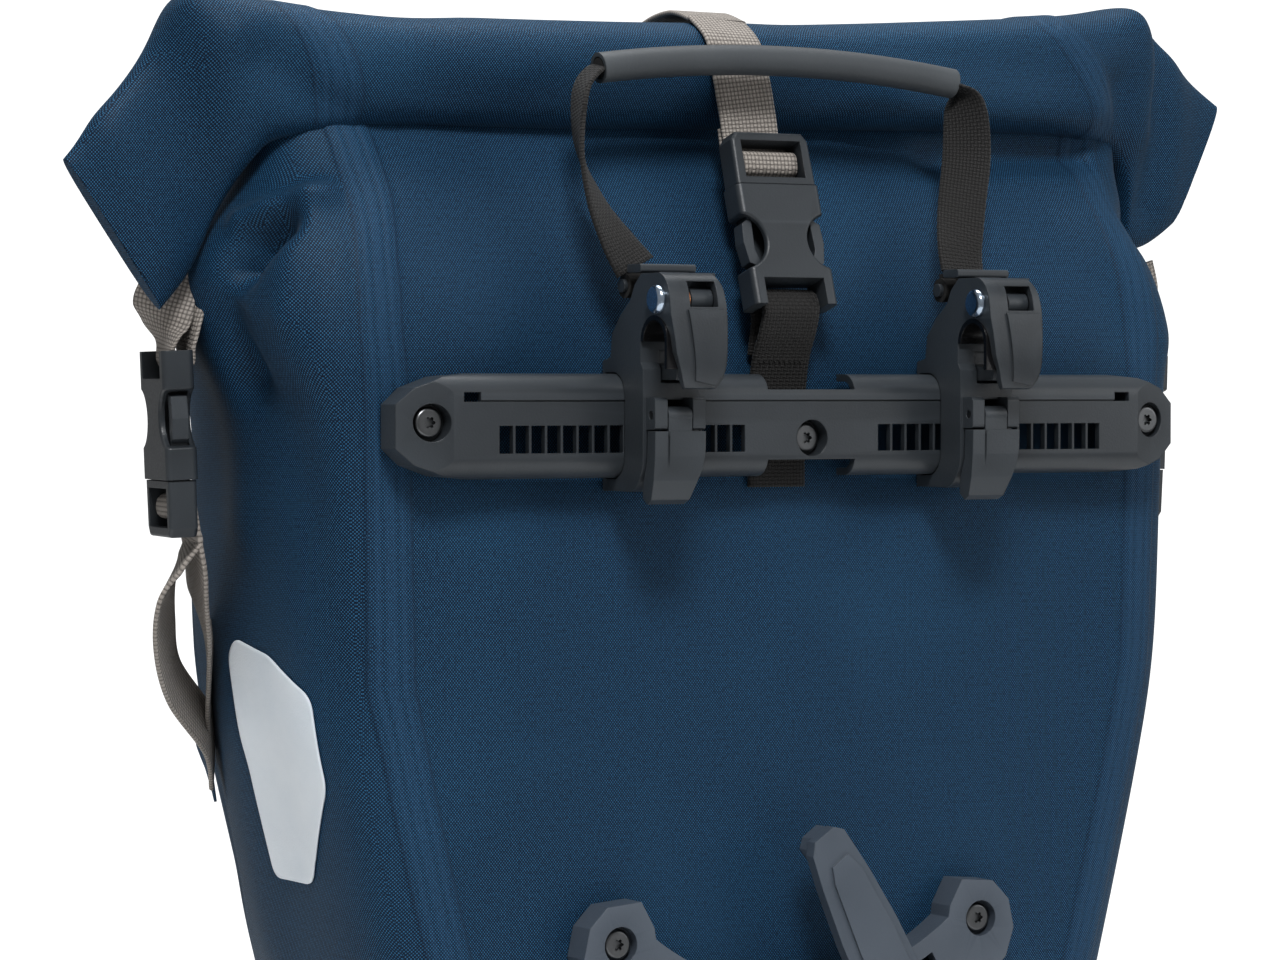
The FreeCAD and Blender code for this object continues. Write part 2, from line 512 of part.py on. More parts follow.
foot_z = ARC_Z - math.sqrt(ARC_R ** 2 - FOOT_X ** 2)
foot_deg = math.degrees(math.asin(FOOT_X / ARC_R))
SHOE_DEG = 4.0
shoe = arc_band(BAND - 3.2, LOW_FRONT + LOW_WALL + 0.4, LOW_FRONT + LOW_WALL + 3.6, SHOE_DEG)
shoe_neck = arc_band(TRACK - 0.4, LOW_FRONT - 0.4, LOW_FRONT + LOW_WALL + 1.0, SHOE_DEG * 0.7)
shoe = fuse([shoe, shoe_neck])
shoe.rotate(V(0, 0, ARC_Z), V(0, -1, 0), foot_deg)
shoe = fuse([shoe, cyl_y(FOOT_X, foot_z, 9.0, LOW_FRONT - 3.4, LOW_FRONT - 0.4)])
PIVOT_R = 2.6
shoe = shoe.cut(cyl_y(FOOT_X, foot_z, 2.0, LOW_FRONT - 10, LOW_FRONT + 6))

BLADE_TILT = 27.5       # the blade leans this far to the left of straight up
blade_outline = [(-10.5, -6), (-11.0, 8), (-10.4, 26), (-8.8, 44), (-7.2, 55), (-4.6, 58.6), (3.4, 59.4), (6.2, 57),
                 (8.6, 42), (10.4, 24), (11.0, 8), (10.5, -6), (6, -12), (-6, -12)]
blade = prism_y(blade_outline, LOW_FRONT - 13.4, LOW_FRONT - 9.4)
blade_tip = prism_y([(-7.4, 46), (-5.6, 56), (-3.0, 58.6), (3.0, 59.4), (5.6, 57), (7.4, 46)],
                    LOW_FRONT - 13.4, LOW_FRONT - 4.0)
blade_tip = blade_tip.cut(prism_x([(LOW_FRONT - 9.4, 40), (LOW_FRONT - 9.4, 50), (LOW_FRONT - 3.9, 56.5),
                                   (LOW_FRONT - 3.9, 40)], -20, 20))
blade_hub = fuse([cyl_y(0, 0, 9.6, LOW_FRONT - 13.4, LOW_FRONT - 3.8),
                  box(-9.0, 9.0, LOW_FRONT - 13.4, LOW_FRONT - 6.0, -8.0, 12.0)])
raised = prism_y([(-5.8, -4), (-6.4, 20), (-4.6, 44), (-3.0, 49), (3.6, 50), (6.0, 44), (8.0, 22), (8.4, -4)],
                 LOW_FRONT - 14.2, LOW_FRONT - 13.3)
fin = fuse([blade, blade_tip, blade_hub, raised])
fin = fin.cut(cyl_y(0, 0, PIVOT_R + 0.06, LOW_FRONT - 11.0, LOW_FRONT))
fin.rotate(V(0, 0, 0), V(0, -1, 0), BLADE_TILT)
fin.translate(V(FOOT_X, 0, foot_z))
fin_pivot = fuse([cyl_y(FOOT_X, foot_z, PIVOT_R, LOW_FRONT - 10.8, LOW_FRONT - 3.4),
                  cyl_y(FOOT_X, foot_z, 1.9, LOW_FRONT - 4.0, LOW_FRONT + 5.0)])

# ---------------------------------------------------------------- side-release buckle, built flat
# Local x is across the strap, y runs from the housing to the plug, and z is the thickness.
HOUSING_L = 38.0
MOUTH_HALF = 14.6
WAIST_HALF = 7.4
THICK = 4.8
PLUG_L = 17.0
JOINT_GAP = 0.3
BAR_Y = (44.8, 48.0)    # the plug's ladder bar


def buckle_housing():
    body = box(-MOUTH_HALF, MOUTH_HALF, 0, HOUSING_L, -THICK, THICK)
    body = round_edges(body, 1.8, lambda e, m: along(e, "y"))
    window_r = 8.6
    windows = [Part.makeCylinder(window_r, 20, V(side * (WAIST_HALF + window_r), 20.0, -10)) for side in (-1, 1)]
    body = body.cut(fuse(windows))
    body = round_edges(body, 0.9, lambda e, m: e.Curve.TypeId == "Part::GeomCircle" and abs(e.Curve.Radius - window_r) < 0.01
                       and abs(abs(m.z) - THICK) < 0.01)
    cavity = box(-12.6, 12.6, 9.5, HOUSING_L + 1, -2.9, 2.9)
    notch = box(-10.6, 10.6, -1, 8.2, -1.0, 10)
    slot = box(-10.6, 10.6, 5.2, 8.2, -10, 10)
    below = box(-10.6, 10.6, -1, 1.5, -10, 10)
    return body.cut(fuse([cavity, notch, slot, below]))


def buckle_plug():
    y0, y1 = HOUSING_L + JOINT_GAP, HOUSING_L + PLUG_L
    outline = [(-14.0, y0), (-13.7, y1 - 2.6), (-11.8, y1), (11.8, y1), (13.7, y1 - 2.6), (14.0, y0)]
    points = [V(x, y, -THICK + 0.5) for x, y in outline]
    base = Part.Face(Part.makePolygon(points + points[:1])).extrude(V(0, 0, 2 * THICK - 1))
    base = round_edges(base, 1.2, lambda e, m: abs(abs(m.z) - THICK + 0.5) < 0.01 and m.y > y0 + 0.1)
    window = box(-10.6, 10.6, y0 + 2.2, y1 - 2.8, -10, 10)
    tongue = box(-3.0, 3.0, 13.0, y0 + 0.5, -1.6, 1.6)
    bar = box(-11, 11, BAR_Y[0], BAR_Y[1], -2.6, 0.4)
    return fuse([base.cut(window), tongue, bar])


def buckle_prongs():
    prongs = []
    for side in (-1, 1):
        outline = [(8.8, HOUSING_L + JOINT_GAP), (11.9, HOUSING_L + JOINT_GAP), (11.9, 27.2), (13.8, 26.0), (14.3, 20.0),
                   (13.2, 13.6), (10.2, 12.3), (9.4, 14.0), (10.8, 18.0), (10.4, 27.0)]
        points = [V(side * x, y, -2.5) for x, y in outline]
        prongs.append(Part.Face(Part.makePolygon(points + points[:1])).extrude(V(0, 0, 5.0)))
    return prongs


def plug_webbing():
    """The turn of webbing over the plug's bar."""
    y0, y1 = BAR_Y
    turn = box(-STRAP_W / 2, STRAP_W / 2, y0 - 0.3 - WEB, y1 + 0.3 + WEB, -2.9, 0.7 + WEB)
    return turn.cut(box(-11.5, 11.5, y0 - 0.3, y1 + 0.3, -3, 0.7))


def housing_webbing(length):
    """The loop of webbing round the housing's bar, with both ends running length below it."""
    half = STRAP_W / 2
    turn = box(-half, half, -length, 5.5 + WEB, -THICK - 0.3 - WEB, -0.7 + WEB)
    return turn.cut(box(-20, 20, -length - 1, 5.5, -THICK - 0.3, -0.7))


def place(shape, at, across, lengthwise):
    """Moves a flat-built piece so that its x runs across and its y lengthwise from the point at."""
    a = V(*across).normalize()
    b = V(*lengthwise)
    b = (b - a * b.dot(a)).normalize()
    c = a.cross(b)
    matrix = FreeCAD.Matrix(a.x, b.x, c.x, at[0], a.y, b.y, c.y, at[1], a.z, b.z, c.z, at[2], 0, 0, 0, 1)
    shape = shape.copy()
    shape.Placement = FreeCAD.Placement(matrix).multiply(shape.Placement)
    return shape


MID_AT = (STRAP_X, -85.6, 325.0)
MID_UP = (0.0, 0.30, 0.954)
SIDE_AT = (-SIDE_X, -12.0, 312.0)
SIDE_DOWN = (0.04, 0.0, -1.0)
SIDE_ACROSS = (0.17, 0.98, 0.0)


def buckle(prefix, at, across, lengthwise, flip=False):
    for name, solids in (("housing", [buckle_housing()]), ("plug", [buckle_plug()]), ("prongs", buckle_prongs())):
        solids = [place(s, at, across, lengthwise) for s in solids]
        if flip:
            solids = [mirrored(s) for s in solids]
        export(prefix + "_buckle_" + name, *solids)


# Middle buckle: the webbing below it runs down behind the rail and is held by the rail's middle screw.
mid_loop = place(housing_webbing(1.0), MID_AT, (1, 0, 0), MID_UP)
web_low = strap([((STRAP_X, -78.2, 271.0), (1, 0, 0), STRAP_W), ((STRAP_X, -78.2, 306.0), (1, 0, 0), STRAP_W),
                 ((STRAP_X, -84.0, 320.6), (1, 0, 0), STRAP_W)])
web_low = web_low.cut(cyl_y(MID_SCREW[0], MID_SCREW[1], HOLE_R, -100, -70))

strap_front = strap([
    ((STRAP_X, 84.5, 302.0), (1, 0, 0), STRAP_W), ((STRAP_X, 78.5, 320.0), (1, 0, 0), STRAP_W),
    ((STRAP_X, 66.5, 340.0), (1, 0, 0), STRAP_W), ((STRAP_X, -5.0, 408.0), (1, 0, 0), STRAP_W),
    ((STRAP_X, -12.0, 414.2), (1, 0, 0), STRAP_W), ((STRAP_X, -20.0, 418.4), (1, 0, 0), STRAP_W),
    ((STRAP_X, -33.0, 420.4), (1, 0, 0), STRAP_W), ((STRAP_X, -46.0, 418.2), (1, 0, 0), STRAP_W),
    ((STRAP_X, -53.0, 414.4), (1, 0, 0), STRAP_W),
])
strap_back = strap([
    ((STRAP_X, -54.6, 413.4), (1, 0, 0), STRAP_W), ((STRAP_X, -58.6, 406.0), (1, 0, 0), STRAP_W),
    ((STRAP_X, -60.0, 396.0), (1, 0, 0), STRAP_W),
    ((STRAP_X, -63.4, 379.0), (1, 0, 0), STRAP_W),
])

# Side straps on the left; the right ones are their mirror image.
tab_upper = strap([((-171.0, -27.2, 340.0), (1, 0, 0), 15), ((-174.0, -27.4, 321.0), (1, 0, 0), 13)])
tab_lower = strap([((-SIDE_X - 1.0, -16.6, 325.0), (-0.17, -0.98, 0), 21), ((-SIDE_X, -12.2, 318.2), (-0.17, -0.98, 0), 20)])
roll_tab = [tab_upper.cut(tab_lower), tab_lower]
side_down = strap([
    ((-174.2, -12.0, 254.6), (-0.17, -0.98, 0), STRAP_W), ((-173.4, -11.0, 250.0), (-0.17, -0.98, 0), STRAP_W),
    ((-168.0, 6.0, 234.0), (-0.1, -1, 0.3), STRAP_W),
    ((-152.5, 33.0, 206.0), (0, -1, 0.6), STRAP_W),
])
side_tail = strap([
    ((-178.8, -12.0, 254.6), (-0.17, -0.98, 0), STRAP_W), ((-179.6, -11.0, 250.0), (-0.2, -0.98, 0), STRAP_W),
    ((-186.0, -4.0, 238.0), (-0.5, -1, 0), STRAP_W),
    ((-178.0, 6.0, 216.0), (-0.3, -1, 0.2), STRAP_W), ((-153.5, 30.0, 190.0), (0, -1, 0.4), STRAP_W),
])
side_down = side_down.cut(patch_form)
side_tail = side_tail.cut(patch_form)

# ---------------------------------------------------------------- write every node
export("back_panel", back_panel)
export("front_panel", front_panel)
export("side_gusset_left", gusset_left)
export("side_gusset_right", gusset_right)
export("bottom_panel", bottom_panel)
export("roll_top", roll)
export("roll_batten", batten)
export("stiffener_board", board)
export("reflector_left", mirrored(reflector_right))
export("reflector_right", reflector_right)
export("strap_anchor_left", mirrored(anchor_right))
export("strap_anchor_right", anchor_right)
export("strap_anchor_front", front_anchor)
export("hook_rail", rail)
export("hook_rail_screws", *rail_screws)
export("hook_rail_nuts", *rail_nuts)
export("lower_rail", low_rail)
export("lower_rail_screws", *low_screws)
export("lower_rail_nuts", *low_nuts)
export("lower_hook_shoe", shoe)
export("lower_hook", fin)
export("lower_hook_pivot", fin_pivot)

for label, side in (("left", -1), ("right", 1)):
    hook_x = side * HOOK_X
    export("hook_body_" + label, moved(hook, hook_x))
    export("hook_liner_" + label, moved(liner, hook_x))
    export("latch_" + label, moved(latch, hook_x))
    export("latch_pin_" + label, moved(pin, hook_x))
    export("latch_spring_" + label, moved(spring, hook_x))
    export("clamp_lever_" + label, moved(clamp, hook_x))
    export("clamp_pin_" + label, moved(clamp_pin, hook_x))
    export("handle_loop_" + label, moved(loop, hook_x))
    export("handle_leg_" + label, leg(side, hook_x))

export("handle_grip", grip)
export("handle_core", grip_core)

buckle("middle", MID_AT, (1, 0, 0), MID_UP)
export("middle_housing_webbing", web_low, mid_loop)
export("closing_strap", strap_front)
export("closing_strap_end", strap_back, place(plug_webbing(), MID_AT, (1, 0, 0), MID_UP))
for label, flip in (("left", False), ("right", True)):
    buckle(label, SIDE_AT, SIDE_ACROSS, SIDE_DOWN, flip)
    tabs = roll_tab + [place(housing_webbing(0.6), SIDE_AT, SIDE_ACROSS, SIDE_DOWN)]
    straps = [side_down, side_tail, place(plug_webbing(), SIDE_AT, SIDE_ACROSS, SIDE_DOWN)]
    export("roll_tab_" + label, *[mirrored(s) if flip else s for s in tabs])
    export("side_strap_" + label, *[mirrored(s) if flip else s for s in straps])
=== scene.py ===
import json
import math

import bmesh
import bpy
import numpy as np
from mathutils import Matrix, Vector
from mathutils.bvhtree import BVHTree


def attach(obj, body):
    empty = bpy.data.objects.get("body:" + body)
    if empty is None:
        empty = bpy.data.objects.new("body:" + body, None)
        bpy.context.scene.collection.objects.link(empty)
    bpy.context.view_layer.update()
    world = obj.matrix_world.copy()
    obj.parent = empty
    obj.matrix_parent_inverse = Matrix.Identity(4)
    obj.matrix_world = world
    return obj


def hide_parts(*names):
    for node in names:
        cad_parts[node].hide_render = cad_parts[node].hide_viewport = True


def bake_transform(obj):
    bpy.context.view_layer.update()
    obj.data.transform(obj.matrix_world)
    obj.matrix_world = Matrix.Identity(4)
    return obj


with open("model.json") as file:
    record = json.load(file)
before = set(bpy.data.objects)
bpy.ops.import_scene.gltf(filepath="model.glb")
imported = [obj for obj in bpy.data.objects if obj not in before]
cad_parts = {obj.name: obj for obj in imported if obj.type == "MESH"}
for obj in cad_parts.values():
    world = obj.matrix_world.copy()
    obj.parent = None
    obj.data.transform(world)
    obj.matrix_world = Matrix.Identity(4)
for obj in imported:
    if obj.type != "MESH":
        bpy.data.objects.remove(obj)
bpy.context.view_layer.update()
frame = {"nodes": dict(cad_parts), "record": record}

MM = 0.001

# ---------------------------------------------------------------- bag body
# One shell of coated polyester, welded from a back, a front, a floor and two side gussets.
# It is filled and soft: flat where the rails are bolted on, and pulled into folds under the roll.
SEAM_INSET = 21.0
SEAM_HALF_BAND = 6.5
SEAM_STEP = 1.2
BAG_SEAM_LIFT = 0.7
FLOOR_SEAM_Z = 12.0
# height, half width, back, front
BAG_LEVELS = (
    (0.5, 88.0, -58.0, 60.0), (0.5, 101.0, -70.0, 72.0), (9.0, 107.0, -76.5, 80.0),
    (40.0, 113.0, -76.3, 85.0), (85.0, 123.0, -76.3, 89.0), (133.0, 135.5, -76.3, 91.0),
    (180.0, 147.0, -76.3, 91.0), (214.0, 154.0, -76.3, 90.0), (255.0, 155.0, -76.3, 87.0),
    (292.0, 156.0, -76.3, 81.0), (318.0, 158.0, -75.0, 72.0), (338.0, 157.0, -70.0, 59.0),
    (356.0, 154.0, -60.0, 38.0), (372.0, 154.0, -49.0, 12.0), (388.0, 156.0, -40.0, -14.0),
)
LEVEL_Z = np.array([row[0] for row in BAG_LEVELS])
LEVEL_HALF = np.array([row[1] for row in BAG_LEVELS])


def bag_row(half, back, front):
    """Half of one level, from the middle of the back round to the middle of the front."""
    deep = front - back
    return [
        (0.0, back), (0.36 * half, back), (half - 46, back), (half - 23, back),
        (half - 7, back + min(6.0, 0.1 * deep)), (half, back + min(24.0, 0.26 * deep)),
        (half - 1.5, back + 0.5 * deep), (half - 9, back + 0.74 * deep),
        (half - 30, back + 0.93 * deep), (0.4 * half, front), (0.0, front + 1.5),
    ]


def cage_mesh(name, rows):
    """A ring-by-ring cage of quads, closed round each ring and across the lowest one."""
    bm = bmesh.new()
    rings = [[bm.verts.new(Vector(p) * MM) for p in row] for row in rows]
    count = len(rings[0])
    for low, high in zip(rings, rings[1:]):
        for i in range(count):
            j = (i + 1) % count
            bm.faces.new((low[i], low[j], high[j], high[i]))
    bm.faces.new(tuple(reversed(rings[0])))
    bm.normal_update()
    mesh = bpy.data.meshes.new(name)
    bm.to_mesh(mesh)
    bm.free()
    return mesh


def add_piece(name, mesh):
    piece = bpy.data.objects.new(name, mesh)
    bpy.context.scene.collection.objects.link(piece)
    return piece


def apply_modifiers(piece):
    """Turns what the modifiers make into the piece's own mesh."""
    bpy.context.view_layer.update()
    graph = bpy.context.evaluated_depsgraph_get()
    mesh = bpy.data.meshes.new_from_object(piece.evaluated_get(graph), depsgraph=graph)
    piece.modifiers.clear()
    piece.data = mesh
    return piece


def smooth_up(piece, levels):
    modifier = piece.modifiers.new("smooth", "SUBSURF")
    modifier.levels = modifier.render_levels = levels
    modifier.uv_smooth = "NONE"
    return apply_modifiers(piece)


def shade_smooth(piece):
    piece.data.polygons.foreach_set("use_smooth", [True] * len(piece.data.polygons))
    return piece


def points_of(piece):
    co = np.empty(len(piece.data.vertices) * 3)
    piece.data.vertices.foreach_get("co", co)
    return co.reshape(-1, 3) / MM


def normals_of(piece):
    no = np.empty(len(piece.data.vertices) * 3)
    piece.data.vertex_normals.foreach_get("vector", no)
    return no.reshape(-1, 3)


def set_points(piece, points):
    piece.data.vertices.foreach_set("co", (points * MM).ravel())
    piece.data.update()


def line_distance(points, line):
    """How far each point is from a line of corners, in mm."""
    best = np.full(len(points), 1e9)
    for a, b in zip(line, line[1:]):
        a, b = np.array(a, float), np.array(b, float)
        t = np.clip(((points - a) @ (b - a)) / ((b - a) @ (b - a)), 0, 1)
        best = np.minimum(best, np.linalg.norm(points - a - t[:, None] * (b - a), axis=1))
    return best


def press_folds(piece, folds):
    """Pushes ridges out and valleys in along lines: each fold is (height, width, corners), in mm."""
    points, normals = points_of(piece), normals_of(piece)
    push = np.zeros(len(points))
    for height, width, line in folds:
        push += height * np.exp(-((line_distance(points, line) / width) ** 2))
    set_points(piece, points + normals * push[:, None])


def swell(z, size, middle, spread):
    """A smooth bulge that is largest at one height and dies away above and below it."""
    return size * math.exp(-(((z - middle) / spread) ** 2))


# how much of a side's bulge each point of a level takes
FLARE_SHARE = (0, 0, 0, 0, 0.25, 0.55, 1.0, 0.5, 0, 0, 0)
bag_rows = []
for z, half, back, front in BAG_LEVELS:
    right = bag_row(half, back, front)
    flare_left = swell(z, 25.0, 331, 19.0) + swell(z, 9.0, 352, 14.0)
    flare_right = swell(z, 2.0, 300, 30.0) + swell(z, 1.5, 366, 14.0)
    rightwards = [(x + flare_right * share, y, z) for (x, y), share in zip(right, FLARE_SHARE)]
    leftwards = [(-x - flare_left * share, y, z) for (x, y), share in zip(right, FLARE_SHARE)]
    bag_rows.append(rightwards + leftwards[-2:0:-1])
bag = add_piece("bag_body", cage_mesh("bag_body", bag_rows))
smooth_up(bag, 4)

BAG_FOLDS = (
    # pleat under the left end of the roll: its lip, the hollow under it,
    # and the ridge and valley that run down
    (5.5, 4.5, ((-146, -56, 358), (-156, -50, 355), (-166, -36, 351))),
    (-12.0, 6.0, ((-156, -50, 347), (-163, -46, 343), (-166, -42, 336))),
    (4.0, 5.0, ((-151, -56, 356), (-155, -54, 340), (-157, -56, 322))),
    (-6.0, 8.0, ((-160, -38, 344), (-164, -34, 326), (-161, -36, 304))),
    (4.0, 14.0, ((-146, -58, 338), (-150, -62, 312))),
    (-2.5, 14.0, ((-158, -50, 296), (-150, -60, 250), (-146, -66, 212))),
    (2.4, 12.0, ((-166, -20, 306), (-157, -16, 262))),
    # right end: a dark gap under the roll, a rounded corner, and slack below it
    (-7.0, 6.5, ((72, -52, 376), (100, -50, 379), (132, -48, 380))),
    (-4.0, 8.0, ((148, -50, 352), (156, -30, 332))),
    (3.0, 11.0, ((124, -64, 356), (146, -62, 318))),
    (-2.4, 14.0, ((112, -70, 356), (128, -76, 322))),
    # slack in the back panel above and below the rail
    (-1.6, 16.0, ((-112, -70, 345), (-70, -76, 318))),
    (1.4, 14.0, ((-122, -62, 362), (-104, -76, 316))),
    (1.3, 18.0, ((60, -66, 352), (100, -76, 318))),
    (-1.6, 20.0, ((-120, -76, 262), (-116, -76, 180), (-96, -76, 110))),
    (1.5, 22.0, ((-96, -76, 256), (-100, -76, 190))),
    (-1.4, 24.0, ((104, -76, 262), (110, -76, 190), (96, -76, 120))),
    (1.2, 20.0, ((0, -76, 256), (14, -76, 214))),
    (1.4, 16.0, ((-60, -76, 118), (0, -76, 92), (60, -76, 118))),
    # side and front, pulled by the side straps
    (-3.0, 16.0, ((-154, 34, 214), (-140, 52, 150))),
    (-3.0, 16.0, ((154, 34, 214), (140, 52, 150))),
    (3.0, 18.0, ((-152, 0, 190), (-140, 10, 130))),
    (3.0, 18.0, ((152, 0, 190), (140, 10, 130))),
    (-3.0, 18.0, ((-60, 60, 340), (-90, 84, 300))),
    (-3.0, 18.0, ((60, 60, 340), (90, 84, 296))),
    (2.5, 22.0, ((-30, 70, 330), (-46, 90, 270))),
)
press_folds(bag, BAG_FOLDS)


def seam_half(z):
    return np.interp(z, LEVEL_Z[2:], LEVEL_HALF[2:] - SEAM_INSET)


def raise_seams(piece, distance, lift):
    """Lifts the welded bands, and stores how far each point is from the middle of the nearest one."""
    step = lift * np.clip((SEAM_HALF_BAND + SEAM_STEP / 2 - distance) / SEAM_STEP, 0, 1)
    set_points(piece, points_of(piece) + normals_of(piece) * step[:, None])
    mark = piece.data.attributes.new("seam_mm", "FLOAT", "POINT")
    mark.data.foreach_set("value", distance.astype(np.float32))


def mark_bag_seams(piece):
    """The upright seams beside each corner, and the level one round the floor."""
    points, normals = points_of(piece), normals_of(piece)
    facing = np.abs(normals[:, 1]) > 0.3
    upright = np.where(facing, np.abs(np.abs(points[:, 0]) - seam_half(points[:, 2])), 99.0)
    level = np.abs(points[:, 2] - FLOOR_SEAM_Z)
    raise_seams(piece, np.minimum(upright, level), BAG_SEAM_LIFT)


mark_bag_seams(bag)


def lay_cloth_grain(piece):
    """Gives each panel threads that run level and upright, as UVs in metres."""
    layer = piece.data.uv_layers.new(name="grain")
    points, normals = points_of(piece), normals_of(piece)
    for polygon in piece.data.polygons:
        middle = np.mean([normals[v] for v in polygon.vertices], axis=0)
        kind = int(np.argmax(np.abs(middle)))
        for loop in polygon.loop_indices:
            x, y, z = points[piece.data.loops[loop].vertex_index] * MM
            layer.data[loop].uv = {0: (y, z), 1: (x, z), 2: (x, y)}[kind]


lay_cloth_grain(bag)


def material(name):
    finish = bpy.data.materials.new(name)
    finish.use_nodes = True
    return finish, finish.node_tree, finish.node_tree.nodes["Principled BSDF"]


def put(tree, kind, **settings):
    """Adds a node, and sets its properties, or its inputs by number or name."""
    node = tree.nodes.new(kind)
    for key, value in settings.items():
        if key.startswith("in_"):
            slot = key[3:]
            node.inputs[int(slot) if slot.isdigit() else slot.replace("_", " ")].default_value = value
        else:
            setattr(node, key, value)
    return node


def sums(tree, operation, a, b=0.0, c=None, clamp=False):
    """A Math node whose inputs are numbers or sockets."""
    node = put(tree, "ShaderNodeMath", operation=operation, use_clamp=clamp)
    for i, value in enumerate((a, b) if c is None else (a, b, c)):
        if isinstance(value, (int, float)):
            node.inputs[i].default_value = value
        else:
            tree.links.new(value, node.inputs[i])
    return node.outputs[0]


def blend_colour(tree, share, a, b, mode="MIX"):
    node = put(tree, "ShaderNodeMix", data_type="RGBA", blend_type=mode)
    for socket, value in ((node.inputs[0], share), (node.inputs[6], a), (node.inputs[7], b)):
        if isinstance(value, (int, float, tuple)):
            socket.default_value = value
        else:
            tree.links.new(value, socket)
    return node.outputs[2]


def effect(name, inputs, outputs):
    """An empty node group with named sockets, and its two end nodes."""
    group = bpy.data.node_groups.new(name, "ShaderNodeTree")
    for label, kind, value in inputs:
        socket = group.interface.new_socket(name=label, in_out="INPUT", socket_type=kind)
        if value is not None:
            socket.default_value = value
    for label, kind in outputs:
        group.interface.new_socket(name=label, in_out="OUTPUT", socket_type=kind)
    return group, group.nodes.new("NodeGroupInput"), group.nodes.new("NodeGroupOutput")


def place_effect(tree, group, **values):
    node = put(tree, "ShaderNodeGroup", node_tree=group)
    for key, value in values.items():
        socket = node.inputs[key.replace("_", " ")]
        if isinstance(value, (int, float, tuple)):
            socket.default_value = value
        else:
            tree.links.new(value, socket)
    return node


def colour(red, green, blue):
    """A colour given as 0 to 255 on a screen, made linear."""
    channels = (red, green, blue)
    return tuple(((c / 255 + 0.055) / 1.055) ** 2.4 if c > 10 else c / 3295 for c in channels) + (1.0,)


def emboss(tree, shader, height, strength, depth):
    """Raises the surface by a pattern of heights, whose depth is in metres."""
    bump = put(tree, "ShaderNodeBump", in_Strength=strength, in_Distance=depth)
    tree.links.new(height, bump.inputs["Height"])
    tree.links.new(bump.outputs[0], shader.inputs["Normal"])
    return bump


def weave_group():
    """Small raised dots in offset rows, with a darker thread line every few rows. Lengths are in metres."""
    group, start, end = effect(
        "dobby_weave",
        (("Grain", "NodeSocketVector", None), ("Dot Pitch", "NodeSocketFloat", 0.0009),
         ("Row Pitch", "NodeSocketFloat", 0.00054), ("Line Pitch", "NodeSocketFloat", 0.0026)),
        (("Dots", "NodeSocketFloat"), ("Lines", "NodeSocketFloat"), ("Height", "NodeSocketFloat")))
    across = put(group, "ShaderNodeSeparateXYZ")
    wander = put(group, "ShaderNodeTexNoise", in_Scale=900.0, in_Detail=1.0)
    group.links.new(start.outputs["Grain"], across.inputs[0])
    group.links.new(start.outputs["Grain"], wander.inputs["Vector"])
    u = sums(group, "DIVIDE", across.outputs[0], start.outputs["Dot Pitch"])
    v = sums(group, "DIVIDE", across.outputs[1], start.outputs["Row Pitch"])
    u = sums(group, "SINE", sums(group, "MULTIPLY", u, math.tau))
    v = sums(group, "SINE", sums(group, "MULTIPLY", v, math.pi))
    grid = sums(group, "MULTIPLY", u, v)
    dots = sums(group, "MULTIPLY_ADD", grid, 1.9, -0.05, clamp=True)
    uneven = sums(group, "MULTIPLY_ADD", wander.outputs["Fac"], 1.6, 0.1)
    dots = sums(group, "MULTIPLY", dots, uneven, clamp=True)
    rows = sums(group, "DIVIDE", across.outputs[1], start.outputs["Line Pitch"])
    streak = put(group, "ShaderNodeTexNoise", in_Scale=1.0, in_Detail=2.0)
    stretched = put(group, "ShaderNodeCombineXYZ")
    group.links.new(sums(group, "MULTIPLY", across.outputs[0], 25.0), stretched.inputs[0])
    group.links.new(sums(group, "MULTIPLY", across.outputs[1], 900.0), stretched.inputs[1])
    group.links.new(stretched.outputs[0], streak.inputs["Vector"])
    ripple = sums(group, "SINE", sums(group, "MULTIPLY", rows, math.pi))
    lines = sums(group, "POWER", sums(group, "ABSOLUTE", ripple), 0.3)
    uneven = sums(group, "MULTIPLY_ADD", streak.outputs["Fac"], 1.2, 0.35)
    lines = sums(group, "MULTIPLY", lines, uneven, clamp=True)
    group.links.new(dots, end.inputs["Dots"])
    group.links.new(lines, end.inputs["Lines"])
    group.links.new(sums(group, "MULTIPLY", dots, lines), end.inputs["Height"])
    return group


DOBBY = weave_group()
FABRIC_GROUND = colour(10, 31, 52)
FABRIC_DOT = colour(54, 112, 150)
FABRIC_LINE = colour(11, 23, 41)
SEAM_TINT = colour(52, 86, 118)
WELD_RIB_PITCH = 2.9


